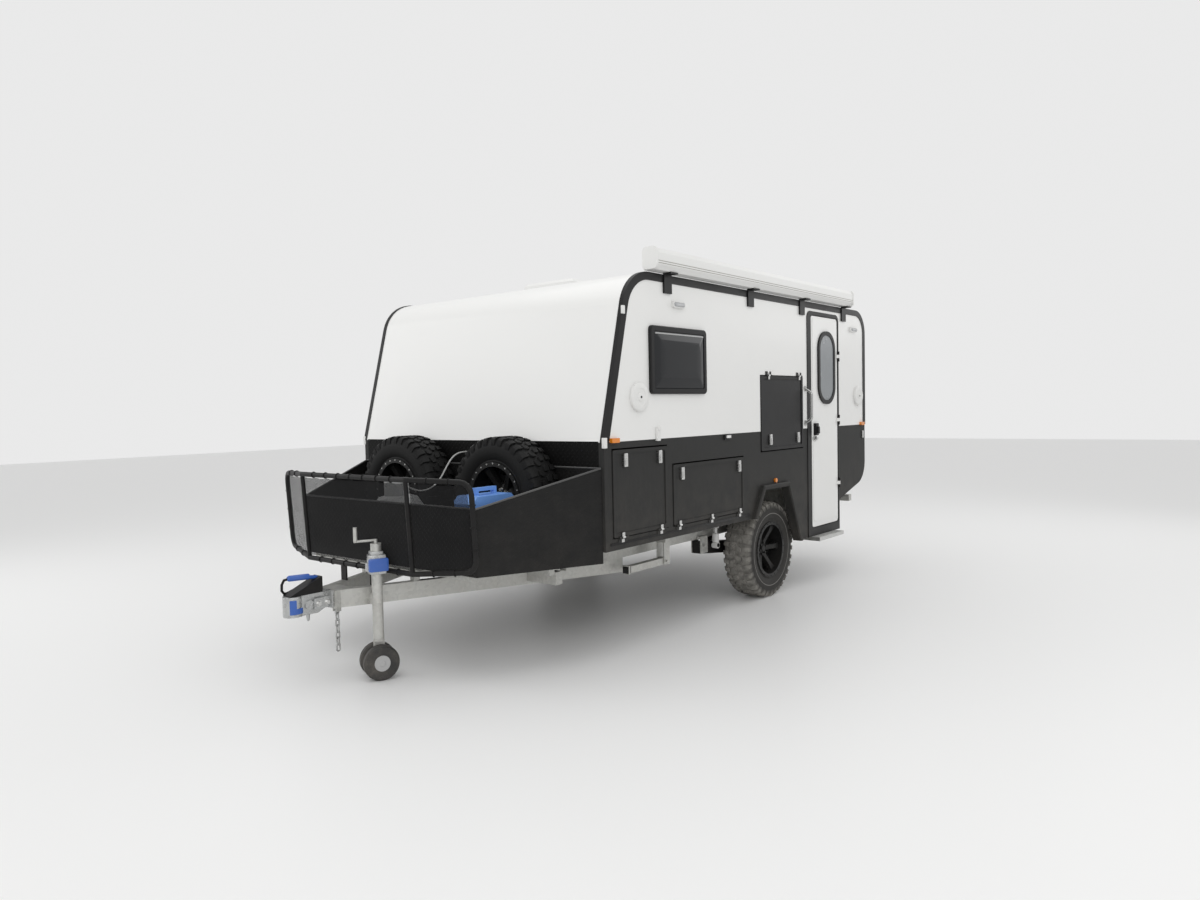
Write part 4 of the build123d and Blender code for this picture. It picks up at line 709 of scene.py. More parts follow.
# Mud tyres: a turned carcass with lugs set round it, lug corners in millimetres along and across the tread
tread = {"groups": 17, "depth": 0.013, "root": 0.004, "short": 0.0004, "carcassSteps": 96, "bead": 0.2033,
         "sidewall": ((0.70, 0.0), (0.80, 0.0), (0.86, 0.010), (0.875, 0.022), (0.86, 0.027), (0.94, 0.046),
                      (0.965, 0.062), (0.972, 0.066), (0.982, 0.078), (0.985, 0.095), (0.975, 0.112)),
         "shoulder": ((0.95, -0.030), (0.90, -0.012), (0.80, -0.003), (0.55, 0.0), (0.25, 0.001)),
         "liningLow": ((0.62, 0.02), (0.8, 0.05)), "liningHigh": ((0.8, -0.04), (0.55, -0.016)),
         "lugSpread": (1.08, 1.0, 0.9), "lugBevel": 0.003, "edgeIn": 1.5, "rootDrop": 1.02,
         "stations": ((0.0, 0.0, 0, 0.0, 0), (0.35, 0.0, 0, 0.0, 0), (0.8, 0.004, 0, 0.006, 0),
                      (1.0, 0.014, 2, 0.006, 8), (1.0, 0.046, 6, 0.006, 8))}
centreLugs = (((2, -6), (30, -3), (47, -24), (41, -50), (12, -46), (-2, -26)),
              ((40, 8), (66, 3), (83, 26), (78, 51), (50, 46), (36, 30)),
              ((72, -6), (101, -4), (118, -26), (112, -51), (84, -45), (70, -27)),
              ((-28, 7), (-4, 3), (12, 26), (7, 50), (-22, 46), (-33, 28)))
shoulderLugs = (((4, -58), (40, -63), (44, -108), (8, -108)),
                ((78, -58), (116, -63), (110, -108), (76, -108)),
                ((44, 60), (80, 57), (84, 108), (46, 108)),
                ((-26, 60), (8, 57), (6, 108), (-30, 108)))


def tyreProfile():
    half, bead, base = tyreWidth / 2, tread["bead"], tyreRadius - tread["depth"]

    def rows(key, start):
        return [(share * half, start + rise) for share, rise in tread[key]]

    outer = rows("sidewall", bead) + rows("shoulder", base)
    inner = rows("liningLow", bead) + rows("liningHigh", base)
    whole = outer + [(-along, radius) for along, radius in reversed(outer)]
    return whole + [(-along, radius) for along, radius in inner] + list(reversed(inner))


def wrapped(u, v, radius):  # a tread point bent round the axle
    turn = u / 1000 / tyreRadius
    return Vector((radius * math.sin(turn), v / 1000, radius * math.cos(turn)))


def lugPitch():
    shape = bmesh.new()
    base, tip = tyreRadius - tread["depth"] - tread["root"], tyreRadius - tread["short"]
    for lug in centreLugs:
        middleU, middleV = (sum(point[axis] for point in lug) / len(lug) for axis in (0, 1))
        loops = []
        for radius, spread in zip((base, tip - tread["lugBevel"], tip), tread["lugSpread"]):
            loops.append([wrapped(middleU + (u - middleU) * spread, middleV + (v - middleV) * spread, radius)
                          for u, v in lug])
        skinLoops(shape, loops)
    edge = tread["edgeIn"]
    for (u0, inner), (u1, _), (u2, outer), (u3, _) in shoulderLugs:
        side = 1 if inner > 0 else -1
        loops = []
        for share, drop, widen, sink, tuck in tread["stations"]:  # out along the lug, then down the sidewall
            low, high = u0 + (u3 - u0) * share, u1 + (u2 - u1) * share
            upper = side * (abs(inner) + (abs(outer) - abs(inner)) * share + widen)
            lower = upper - side * tuck
            top, bottom = tip - drop, base - drop * tread["rootDrop"] - sink
            loops.append([wrapped(low + edge, upper, top), wrapped(high - edge, upper, top),
                          wrapped(high, lower, bottom), wrapped(low, lower, bottom)])
        skinLoops(shape, loops)
    return toMesh(shape, "lugPitch")


def alongAxis(middle, axis):  # from the Y axle of a pattern to a wheel's own axle
    turn = Vector((0, 1, 0)).rotation_difference(Vector(axis)).to_matrix().to_4x4()
    return Matrix.Translation(middle) @ turn


def mudTyre(name, middles, axis, paint, body, replaced):
    whole = bmesh.new()
    blank = bpy.data.meshes.new("blank")
    values = {"Pitch": pitchHolder, "Count": tread["groups"]}
    lugs = runTree(name + "Lugs", blank, treadTree, values, paint, body)
    for middle in middles:
        ring = lugs.data.copy()
        ring.transform(alongAxis(middle, axis))
        whole.from_mesh(ring)
        carcass = bmesh.new()
        lathe(carcass, middle, axis, tyreProfile(), tread["carcassSteps"], closed=True)
        whole.from_mesh(toMesh(carcass, "carcass"))
    bpy.data.objects.remove(lugs)
    made = place(name, rawMesh(whole, name), paint, body, "tyre_rubber", 40.0)
    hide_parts(replaced)


pitchHolder = bpy.data.objects.new("lugPitch", lugPitch())
scene.collection.objects.link(pitchHolder)
spareCentres = [Vector((spareMiddle.x, hand * spareHalf, spareMiddle.z)) for hand in hands]
mudTyre("roadTyreLeft", [wheelCentres["left"]], (0, 1, 0), "dustyRubberLeft", "wheel_left", "tyre_left")
mudTyre("roadTyreRight", [wheelCentres["right"]], (0, 1, 0), "dustyRubberRight", "wheel_right", "tyre_right")
mudTyre("spareTyrePair", spareCentres, (1, 0, 0), "freshRubber", "trailer", "spare_tyres")
bpy.data.objects.remove(pitchHolder)
print("tyres made")

# Gas hose, from the bottle's valve to the inlet on the front panel
hose = {"radius": 0.005, "length": 0.628,
        "points": ((0.524, -0.040, 0.400), (0.492, 0.002, 0.366), (0.440, 0.044, 0.350),
                   (0.385, 0.080, 0.372), (0.335, 0.098, 0.425), (0.295, 0.104, 0.490),
                   (0.245, 0.098, 0.545), (0.180, 0.080, 0.573), (0.110, 0.062, 0.580),
                   (0.050, 0.050, 0.578))}


def makeHose():
    line = bpy.data.curves.new("gasHose", "CURVE")
    line.dimensions = "3D"
    line.bevel_depth, line.bevel_resolution = hose["radius"], 4
    line.use_fill_caps = True
    run = line.splines.new("NURBS")
    run.points.add(len(hose["points"]) - 1)
    for point, (ahead, side, up) in zip(run.points, hose["points"]):
        point.co = (*at(-ahead, side, up), 1)
    run.order_u, run.use_endpoint_u, run.resolution_u = 3, True, 10
    line.materials.append(finishes["hoseRubber"])
    holder = bpy.data.objects.new("gasHose", line)
    scene.collection.objects.link(holder)
    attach(holder, "trailer")
    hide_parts("gas_hose")


makeHose()

# Stone guard's net, three panels laced inside the tube frame
guard = {"front": 0.929, "lean": 0.032, "half": 0.504, "low": -0.048, "high": 0.476, "wingFront": 0.804,
         "wingHalf": 0.890, "wingLow": -0.016, "wingHigh": 0.466, "edge": 0.017, "tieEvery": 0.125,
         "slack": 0.006, "bend": 0.062, "wave": 0.0022, "ripples": (9, 4), "cells": (36, 18),
         "tieRadius": 0.0172, "tieWire": 0.0026}


def guardCorners(side):
    wingLean = guard["lean"] * (guard["wingHigh"] - guard["wingLow"]) / (guard["high"] - guard["low"])
    return [at(-guard["front"], side * guard["half"], guard["high"]),
            at(-guard["wingFront"], side * guard["wingHalf"], guard["wingHigh"]),
            at(-guard["wingFront"] + wingLean, side * guard["wingHalf"], guard["wingLow"]),
            at(-guard["front"] + guard["lean"], side * guard["half"], guard["low"])]


def netPanel(shape, corners, roundEnd=None):
    across, down = corners[1] - corners[0], corners[3] - corners[0]
    normal = across.cross(down).normalized()
    wide, tall, bend = across.length, down.length, guard["bend"]
    columns, rows = guard["cells"]
    along, aside = guard["ripples"]
    inU, inV = guard["edge"] / wide, guard["edge"] / tall
    grid = []
    for row in range(rows + 1):
        line = []
        for column in range(columns + 1):
            s, t = column / columns, row / rows
            pull = guard["slack"] * abs(math.sin(math.pi * s * wide / guard["tieEvery"])) / tall
            sag = guard["slack"] * abs(math.sin(math.pi * t * tall / guard["tieEvery"])) / wide
            u = inU + sag + s * (1 - 2 * inU - 2 * sag)
            toEnd = abs((roundEnd or 0) - u) * wide
            if roundEnd is not None and toEnd < bend:
                pull += (bend - math.sqrt(bend ** 2 - (bend - toEnd) ** 2)) / tall
            v = inV + pull + t * (1 - 2 * inV - 2 * pull)
            top, low = corners[0].lerp(corners[1], u), corners[3].lerp(corners[2], u)
            loose = guard["wave"] * math.sin(math.pi * s) * math.sin(math.pi * t)
            wave = loose * math.sin(along * s + aside * t)
            line.append(shape.verts.new(top.lerp(low, v) + normal * wave))
        grid.append(line)
    for upper, lower in zip(grid, grid[1:]):
        for column in range(columns):
            shape.faces.new((upper[column], upper[column + 1], lower[column + 1], lower[column]))
    return (wide - 2 * guard["edge"]) * (tall - 2 * guard["edge"])


def makeNetting():
    shape = bmesh.new()
    left, right = guardCorners(1), guardCorners(-1)
    area = netPanel(shape, [left[1], left[0], left[3], left[2]], 0)
    area += netPanel(shape, [left[0], right[0], right[3], left[3]])
    area += netPanel(shape, [right[0], right[1], right[2], right[3]], 1)
    net = place("guardNet", rawMesh(shape, "guardNet"), "guardNet", "trailer", "guard_net", 60.0)
    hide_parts("guard_mesh")


makeNetting()
print("hose and guard net made")

# Locker latches: a bevelled case with a raised paddle
latches = {"half": (0.0180, 0.0410), "depth": 0.019, "bevel": 0.005, "seat": 0.016,
           "paddle": ((-0.011, 0.017, -0.030), (0.011, 0.023, 0.014), 0.003),
           "rows": (("hatch_front_left", "front_locker_left", (0.190, 0.547), 0.532),
                    ("hatch_front_right", "front_locker_right", (0.190, 0.547), 0.532),
                    ("hatch_middle_left", "middle_locker", (0.799, 1.534), 0.408),
                    ("hatch_rear_left", "rear_locker", (2.015, 2.479), 0.578))}


def makeLatches():
    wide, tall = latches["half"]
    for node, body, places, level in latches["rows"]:
        low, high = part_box(node)
        right = node.endswith("right")
        face = low.y + latches["seat"] if right else high.y - latches["seat"]
        case = bmesh.new()
        slab(case, (-wide, 0, -tall), (wide, latches["depth"], tall), latches["bevel"])
        slab(case, *latches["paddle"])
        spots = [(at(back, face, level), (0, 0, math.pi if right else 0)) for back in places]
        scatter(body + "Latches", spots, case, "stainless", body, "stainless")


makeLatches()

# Bright hinge leaves: one on each locker door that turns with it, one on the wall
hingeSet = {"half": 0.0135, "tall": 0.030, "from": 0.004, "thick": 0.0015, "bevel": 0.001, "axis": 0.009,
            "sleeve": 0.0075, "sleeveGap": 0.0004, "rivet": (0.001, 0.021),
            "rivetProfile": ((0, 0.0055), (0.0025, 0.004)), "footOut": 0.006, "footFrom": 0.0095,
            "footBevel": 0.002,
            "rows": (("front_locker_left", 1, (0.161, 0.561), 0.071, 0.0),
                     ("front_locker_right", -1, (0.161, 0.561), 0.071, 0.0),
                     ("middle_locker", 1, (0.7715, 1.1667, 1.5481), 0.071, 0.0),
                     ("rear_locker", 1, (2.002, 2.5147), 1.066, math.pi))}


def makeHingeLeaves():
    half, tall, sleeve, thick = (hingeSet[key] for key in ("half", "tall", "sleeve", "thick"))
    rivetOut, rivetUp = hingeSet["rivet"]
    ends = hingeSet["sleeveGap"], 2 * half - hingeSet["sleeveGap"]
    feet = []
    for body, side, places, level, flip in hingeSet["rows"]:
        leaf = bmesh.new()
        slab(leaf, (-half, -thick, hingeSet["from"]), (half, thick, tall), hingeSet["bevel"])
        lathe(leaf, (-half, 0, 0), (1, 0, 0), [(end, sleeve) for end in ends], 20)
        lathe(leaf, (0, rivetOut, rivetUp), (0, 1, 0), hingeSet["rivetProfile"], 16)
        turn = (0, flip, 0 if side > 0 else math.pi)
        spots = [(at(back, side * (bodySide + hingeSet["axis"]), level), turn) for back in places]
        scatter(body + "HingeLeaves", spots, leaf, "stainless", body, "stainless")
        away = 1 if flip else -1
        outer, near = side * (bodySide + hingeSet["footOut"]), level + away * hingeSet["footFrom"]
        feet += [(at(back + half, side * bodySide, level + away * tall), at(back - half, outer, near))
                 for back in places]
    slabs("hingeFeet", feet, "stainless", "trailer", "stainless", hingeSet["footBevel"])


makeHingeLeaves()

# Entry door's handle and lock
doorSet = {"handle": (2.803, 0.645), "bevel": 0.007,
           "boxes": (((0.028, 0.003, -0.064), (-0.028, 0.029, 0.037)),
                     ((0.016, 0.020, -0.050), (-0.018, 0.044, 0.010))),
           "lock": (2.792, 0.556), "lockRadius": 0.017,
           "lockProfile": ((0.002, 1.6), (0.009, 1.5), (0.010, 1.0), (0.030, 0.9), (0.034, 0.6))}


def makeDoorSet():
    back, up = doorSet["handle"]
    boxes = [[at(back + behind, bodySide + out, up + rise) for behind, out, rise in box]
             for box in doorSet["boxes"]]
    slabs("doorHandle", boxes, "blackTrim", "entry_door", "black_trim", doorSet["bevel"])
    lockBack, lockUp = doorSet["lock"]
    profile = scaled(doorSet["lockProfile"], doorSet["lockRadius"])
    turnedPieces("doorLock", [(at(lockBack, bodySide, lockUp), (0, 1, 0), profile)], "stainless",
                 "entry_door", "stainless")


makeDoorSet()

# Round vent covers and oval lamps on the upper wall
wallFittings = {"covers": (0.342, 3.698), "coverUp": 0.907, "coverRadius": 0.0885,
                "coverProfile": ((0.006, 1.0), (0.0165, 1.0), (0.0205, 0.97), (0.0225, 0.93), (0.0228, 0.62),
                                 (0.0205, 0.60), (0.0205, 0.30), (0.0255, 0.27), (0.0265, 0.10)),
                "pinProfile": ((0.026, 0.008), (0.0285, 0.007)), "lamps": (0.784, 3.594), "lampUp": 1.500,
                "lens": ((0.116, 0.028, 0.0195), (0.114, 0.026, 0.0245), (0.104, 0.018, 0.0275)),
                "lensFlat": 0.001}


def makeWallFittings():
    centres = [at(back, bodySide, wallFittings["coverUp"]) for back in wallFittings["covers"]]
    profile = scaled(wallFittings["coverProfile"], wallFittings["coverRadius"])
    for name, section, paint, slotName, count in (
            ("ventCovers", profile, "whiteMoulding", "white_plastic", 64),
            ("ventCoverPins", wallFittings["pinProfile"], "blackTrim", "black_trim", 16)):
        rows = [(centre, (0, 1, 0), section) for centre in centres]
        turnedPieces(name, rows, paint, "trailer", slotName, count)
    lens = bmesh.new()
    for back in wallFittings["lamps"]:
        middle = at(back, bodySide, wallFittings["lampUp"])
        loops = []
        for wide, tall, out in wallFittings["lens"]:
            outline = roundedLoop(wide, tall, tall / 2 - wallFittings["lensFlat"])
            loops.append([middle + Vector((x, out, z)) for x, z in outline])
        skinLoops(lens, loops)
    place("ovalLenses", lens, "clearLens", "trailer", "white_plastic")


makeWallFittings()

# Bulged side panes with a pale blind rail behind their upper edge
pane = {"start": 0.459, "length": 0.644, "low": 0.9252, "high": 1.3526, "rim": 0.034, "gap": 0.001,
        "corner": 0.014,
        "section": ((0.0, 0.006), (0.001, 0.016), (0.003, 0.018), (0.052, 0.029), (0.058, 0.0298),
                    (0.1144, 0.0315)),
        "railIn": 0.012, "railOut": (0.017, 0.0245), "railDrop": (0.018, 0.009), "railBevel": 0.002}


def makePanes():
    wide = pane["length"] - 2 * pane["rim"] - pane["gap"]
    tall = pane["high"] - pane["low"] - 2 * pane["rim"] - pane["gap"]
    middle = at(pane["start"] + pane["length"] / 2, 0, (pane["low"] + pane["high"]) / 2)
    shape = bmesh.new()
    for side in hands:
        skinLoops(shape, [[middle + Vector((x, side * (bodySide + out), z))
                           for x, z in roundedLoop(wide - 2 * inset, tall - 2 * inset, pane["corner"])]
                          for inset, out in pane["section"]])
    panes = place("bulgedPanes", shape, "smokedPane", "trailer", "dark_pane", 20.0)
    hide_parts("window_panes")
    inset, top = pane["rim"] + pane["railIn"], pane["high"] - pane["rim"]
    backs = pane["start"] + inset, pane["start"] + pane["length"] - inset
    rails = [[at(back, side * (bodySide + out), top - drop)
              for back, out, drop in zip(backs, pane["railOut"], pane["railDrop"])] for side in hands]
    slabs("blindRails", rails, "greyMoulding", "trailer", "white_plastic", pane["railBevel"])


makePanes()
print("doors, windows and wall fittings made")


# Stone guard's ties, the hook-on chain and the crate's rolled lip
def makeTies():
    tie = bmesh.new()
    path = circle(Vector(), Vector((1, 0, 0)), Vector((0, 1, 0)), guard["tieRadius"], 20)
    tube(tie, path, guard["tieWire"], 8, closed=True)
    left, right = guardCorners(1), guardCorners(-1)
    runs = [(left[0], right[0]), (left[3], right[3])]
    for side in (left, right):
        runs += [(side[0], side[1]), (side[3], side[2]), (side[1], side[2])]
    spots = []
    for start, end in runs:
        run = end - start
        turn = tuple(run.to_track_quat("Z", "Y").to_euler())
        count = max(2, round(run.length / guard["tieEvery"]))
        spots += [(start.lerp(end, index / count), turn) for index in range(1, count)]
    scatter("guardTies", spots, tie, "blackCoat", "trailer", "black_steel")


chain = {"ahead": 1.050, "top": 0.3733, "pitch": 0.0357, "links": 7, "wire": 0.0046, "half": 0.0226,
         "side": 0.0105, "bendSteps": 8}


def makeChain():
    link = bmesh.new()
    side, steps = chain["side"], chain["bendSteps"]
    reach = chain["half"] - side
    loop = []
    for end in hands:
        for index in range(steps + 1):
            turn = math.pi * index / steps
            loop.append(Vector((side * math.cos(turn), 0, reach + side * math.sin(turn))) * end)
    tube(link, loop, chain["wire"], 10, closed=True)
    spots = []
    for index in range(chain["links"]):
        level = chain["top"] - index * chain["pitch"]
        spots.append((nose(chain["ahead"], 0, level), (0, 0, index % 2 * math.pi / 2)))
    made = scatter("safetyChain", spots, link, "castZinc", "trailer", "galvanised", 60.0)
    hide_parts("safety_chain")


crate = {"rear": (0.006, 1.127, 0.494), "front": (0.711, 0.818, 0.310), "lip": 0.006}


def makeCrateLip():
    lip = bmesh.new()
    points = []
    for end, hand in (("rear", 1), ("front", 1), ("front", -1), ("rear", -1)):
        ahead, half, up = crate[end]
        points.append(at(-ahead, hand * half, up))
    for start, end in zip(points, points[1:] + points[:1]):
        tube(lip, [start, end], crate["lip"], 10)
    # the lip's lighter grey is a painted highlight along the crate's top edge
    place("crateLip", lip, "paintedHighlightEdge", "trailer", "black_steel")


makeTies()
makeChain()
makeCrateLip()

# Wheels: nuts, caps, spokes and the bead ring's small bolts
wheelSet = {"nutRing": 0.045, "nutFace": 0.0265, "nuts": 6, "nut": (0.0095, 0.012), "beadRing": 0.2095,
            "beadFace": 0.107, "beadBolts": 24, "beadBolt": (0.0036, 0.003), "cap": 0.030,
            "capProfile": ((0.020, 1.0), (0.040, 0.94), (0.044, 0.8), (0.0445, 0.5)), "spokes": 6,
            "spokeTop": 0.8,
            "spoke": ((0.050, 0.030, 0.024, 0.030), (0.085, 0.040, 0.021, 0.034),
                      (0.150, 0.058, 0.022, 0.036), (0.191, 0.070, 0.034, 0.036))}


def ringSpots(centre, axis, radius, along, count):
    axis, side, other = frameFor(axis)
    return [(spot, tuple(axis)) for spot in circle(centre + axis * along, side, other, radius, count)]


def makeSpokes(name, centres, axis, body):  # tapered bars from the hub out to the barrel
    bar = bmesh.new()
    loops = []
    for radius, along, wide, deep in wheelSet["spoke"]:
        top = wheelSet["spokeTop"] * wide
        loops.append([Vector((-wide, along - deep, radius)), Vector((-top, along, radius)),
                      Vector((top, along, radius)), Vector((wide, along - deep, radius))])
    skinLoops(bar, loops)
    count = wheelSet["spokes"]
    spots = [(Vector(), (0, 2 * math.pi * (index + 0.5) / count, 0)) for index in range(count)]
    spokes = scatter(name + "Spokes", spots, bar, "rimPaint", body, "black_rim", None)
    whole = bmesh.new()
    for centre in centres:
        copy = spokes.data.copy()
        copy.transform(alongAxis(centre, axis))
        whole.from_mesh(copy)
    whole.to_mesh(spokes.data)
    whole.free()


def dressWheel(name, centres, axis, body):
    nuts, beads, caps = [], [], []
    for centre in centres:
        nuts += ringSpots(centre, axis, wheelSet["nutRing"], wheelSet["nutFace"], wheelSet["nuts"])
        beads += ringSpots(centre, axis, wheelSet["beadRing"], wheelSet["beadFace"], wheelSet["beadBolts"])
        caps.append((centre, axis, scaled(wheelSet["capProfile"], wheelSet["cap"])))
    paint, slotName = ("stainless", "stainless") if body == "trailer" else ("rimPaint", "black_rim")
    bolts(name + "Nuts", nuts, wheelSet["nut"], paint, body, slotName)
    bolts(name + "BeadBolts", beads, wheelSet["beadBolt"], paint, body, slotName)
    makeSpokes(name, centres, axis, body)
    turnedPieces(name + "Caps", caps, "rimPaint", body, "black_rim")


dressWheel("leftWheel", [wheelCentres["left"]], (0, 1, 0), "wheel_left")
dressWheel("rightWheel", [wheelCentres["right"]], (0, -1, 0), "wheel_right")
dressWheel("spareWheels", spareCentres, (1, 0, 0), "trailer")
print("guard ties, chain and wheels dressed")

# Hitch: blue fields round the head, grip and linkage, pin, cover plate, bolted flanges
hitch = {"head": 1.328, "level": 0.451, "radius": 0.052, "skin": (0.0004, 0.005), "fieldBevel": 0.003,
         "fieldSteps": 12, "fields": ((44, 82, -0.040, 0.040), (80, 128, -0.040, -0.008)),
         "grip": ((1.222, 0.5985), (1.352, 0.6070)), "gripRadius": 0.0165, "gripRounds": (0.004, 0.008),
         "gripEnds": (0.8, 0.7),
         "link": ((1.345, -0.004, 0.604), (1.362, -0.020, 0.598), (1.368, -0.034, 0.572),
                  (1.366, -0.040, 0.538), (1.350, -0.043, 0.518), (1.325, -0.042, 0.520),
                  (1.304, -0.036, 0.530)), "linkRadius": 0.0075,
         "pin": 1.236, "pinProfile": ((0.351, 0.005), (0.358, 0.008), (0.384, 0.011), (0.415, 0.012)),
         "plate": ((1.360, 0.000), (1.300, 0.0255), (1.164, 0.0835)), "plateHalf": 0.038,
         "plateUp": (0.0565, 0.0615), "boltRows": (1.150, 1.205), "boltSide": 0.062, "bolt": (0.012, 0.010)}


def makeHitch():
    cover = bmesh.new()
    middle = nose(hitch["head"], 0, hitch["level"])
    near, far = (hitch["radius"] + skin for skin in hitch["skin"])
    bevel, steps = hitch["fieldBevel"], hitch["fieldSteps"]
    for first, last, low, high in hitch["fields"]:
        section = ((near, low), (far, low + bevel), (far, high - bevel), (near, high))
        loops = []
        for index in range(steps + 1):
            turn = math.radians(first + (last - first) * index / steps)
            loops.append([middle + Vector((reach * math.cos(turn), reach * math.sin(turn), rise))
                          for reach, rise in section])
        skinLoops(cover, loops)
    place("hitchCover", cover, "bluePaint", "trailer", "blue_steel")
    start, end = (nose(ahead, 0, height) for ahead, height in hitch["grip"])
    run, radius = end - start, hitch["gripRadius"]
    (firstRound, lastRound), (firstEnd, lastEnd) = hitch["gripRounds"], hitch["gripEnds"]
    profile = [(0, firstEnd * radius), (firstRound, radius), (run.length - lastRound, radius),
               (run.length, lastEnd * radius)]
    turnedPieces("hitchGrip", [(start, run, profile)], "bluePaint", "trailer", "blue_steel")
    link = bmesh.new()
    tube(link, [nose(*point) for point in hitch["link"]], hitch["linkRadius"], 10)
    place("hitchLink", link, "blackCoat", "trailer", "black_steel", 60.0)
    turnedPieces("hitchPin", [(nose(hitch["pin"], 0, 0), (0, 0, 1), hitch["pinProfile"])], "castZinc",
                 "trailer", "galvanised", 20)
    plate = bmesh.new()
    under, over = (hitch["level"] + rise for rise in hitch["plateUp"])
    skinLoops(plate, [[nose(ahead, hand * hitch["plateHalf"], lift + face)
                       for hand, face in ((1, under), (1, over), (-1, over), (-1, under))]
                      for ahead, lift in hitch["plate"]])
    place("hitchPlate", plate, "blackCoat", "trailer", "black_steel")
    spots = [(nose(ahead, hand * hitch["boltSide"], hitch["level"]), (0, hand, 0))
             for ahead in hitch["boltRows"] for hand in hands]
    bolts("hitchBolts", spots, hitch["bolt"], "stainless", "trailer", "stainless")


# Jack: geared head with a blue cover on the leg, hubs on the twin wheels
jackSet = {"head": 0.655, "outward": (0.3849, 0.9230, 0),
           "case": (((-0.046, -0.036, -0.056), (0.046, 0.046, 0.054), 0.008),
                    ((-0.034, -0.040, 0.046), (0.034, 0.034, 0.072), 0.006),
                    ((-0.060, -0.018, -0.040), (0.060, 0.028, 0.010), 0.006)),
           "cover": (((-0.056, 0.034, -0.040), (0.056, 0.066, 0.036), 0.013),),
           "hub": 0.046, "hubProfile": ((0.065, 1.0), (0.071, 0.96), (0.071, 0.4), (0.075, 0.3))}


def makeJackSet():
    low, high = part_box("jack_wheels")
    axle = (low + high) / 2
    outward = Vector(jackSet["outward"])
    turn = (0, 0, math.atan2(outward.y, outward.x) - math.pi / 2)
    spots = [(Vector((axle.x, axle.y, jackSet["head"])), turn)]
    for name, key, paint, slotName in (("jackHead", "case", "castZinc", "galvanised"),
                                       ("jackHeadCover", "cover", "bluePaint", "blue_steel")):
        shape = bmesh.new()
        for box in jackSet[key]:
            slab(shape, *box)
        scatter(name, spots, shape, paint, "jack_leg", slotName)
    profile = scaled(jackSet["hubProfile"], jackSet["hub"])
    hubs = [(axle, outward * hand, profile) for hand in hands]
    turnedPieces("jackHubs", hubs, "greyMoulding", "jack_wheels", "white_plastic")


makeHitch()
makeJackSet()

# Suspension: wound springs round their bump stops, and shock absorbers
suspension = {"spring": (1.890, 0.688, -0.258, -0.108), "radius": 0.0445, "wire": 0.0075, "turns": 5.5,
              "turnSteps": 24, "stop": 0.028, "stopGap": 0.0004,
              "shock": (1.680, 0.864, -0.210, -0.055), "damper": 0.026,
              "damperProfile": ((0.020, 0.5), (0.026, 1.0), (0.086, 1.0), (0.092, 0.8), (0.093, 0.5)),
              "rod": 0.013, "rodShort": 0.020,
              "eye": ((-0.022, 0.0155), (-0.022, 0.0243), (0.022, 0.0243), (0.022, 0.0155))}


def makeSuspension():
    springs, shocks = bmesh.new(), bmesh.new()
    wire, radius, gap = suspension["wire"], suspension["radius"], suspension["stopGap"]
    perTurn = suspension["turnSteps"]
    steps = round(perTurn * suspension["turns"])
    for hand in hands:
        back, side, low, high = suspension["spring"]
        foot, tall = at(back, hand * side, low), high - low
        points = []
        for index in range(steps + 1):
            turn = 2 * math.pi * index / perTurn
            rise = wire + (tall - 2 * wire) * index / steps
            points.append(foot + Vector((radius * math.cos(turn), radius * math.sin(turn), rise)))
        tube(springs, points, wire, 10)
        lathe(springs, foot, (0, 0, 1), [(end, suspension["stop"]) for end in (gap, tall - gap)], 24)
        back, side, low, high = suspension["shock"]
        foot, tall = at(back, hand * side, low), high - low
        profile = scaled(suspension["damperProfile"], suspension["damper"])
        lathe(shocks, foot, (0, 0, 1), profile + [(tall - suspension["rodShort"], suspension["rod"])], 32)
        for lift in (0, tall):
            lathe(shocks, foot + Vector((0, 0, lift)), (0, 1, 0), suspension["eye"], 32, closed=True)
    coils = place("coilSprings", springs, "blackCoat", "trailer", "black_steel", 60.0)
    absorbers = place("shockAbsorbers", shocks, "whiteMoulding", "trailer", "white_plastic")
    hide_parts("springs_and_shocks")
    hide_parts("springs_and_shocks")


makeSuspension()

# Slotted plates on the rails, with black slabs in the slots as painted shade
railPlate = {"middle": 0.331, "side": 0.800, "up": -0.092, "half": (0.10, 0.048), "thick": 0.005,
             "bevel": 0.0015, "slots": 4, "slotPitch": 0.036, "slotHalf": 0.012, "slotUp": (-0.006, 0.004),
             "slotOut": (0.004, 0.0058), "slotBevel": 0.0008}


def makeRailPlates():
    middle, side, up = railPlate["middle"], railPlate["side"], railPlate["up"]
    long, tall = railPlate["half"]
    plates = [(at(middle + long, hand * side, up - tall),
               at(middle - long, hand * (side + railPlate["thick"]), up + tall)) for hand in hands]
    slabs("slotPlates", plates, "galvanised", "trailer", "galvanised", railPlate["bevel"])
    half, (inner, outer), (low, high) = railPlate["slotHalf"], railPlate["slotOut"], railPlate["slotUp"]
    first = middle - (railPlate["slots"] - 1) / 2 * railPlate["slotPitch"]
    slotShadeBoxes = []
    for hand in hands:
        for index in range(railPlate["slots"]):
            slot = first + index * railPlate["slotPitch"]
            slotShadeBoxes.append((at(slot + half, hand * (side + inner), up + low),
                          at(slot - half, hand * (side + outer), up + high)))
    # black slabs in the slots are painted shade where the holes would show only shade
    slabs("slotMarks", slotShadeBoxes, "blackCoat", "trailer", "black_steel", railPlate["slotBevel"])


# Caps on the swing-down legs and ribs on the entry step
legCap = {"side": 0.900, "half": 0.02375, "level": -0.210, "into": 0.028, "past": 0.003, "bevel": 0.004}
stepRibs = {"count": 7, "first": 0.012, "pitch": 0.010, "half": 0.0025, "ends": 0.012, "sunk": 0.001,
            "proud": 0.002, "bevel": 0.0008}


def makeLegCaps():
    half, level = legCap["half"], bodyLow + legCap["level"]
    for hand, name in zip(hands, ("drop_leg_left", "drop_leg_right")):
        end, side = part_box(name)[1].x, hand * legCap["side"]
        box = ((end - legCap["into"], side - half, level - half),
               (end + legCap["past"], side + half, level + half))
        slabs(name + "Cap", [box], "blackTrim", name, "black_trim", legCap["bevel"])


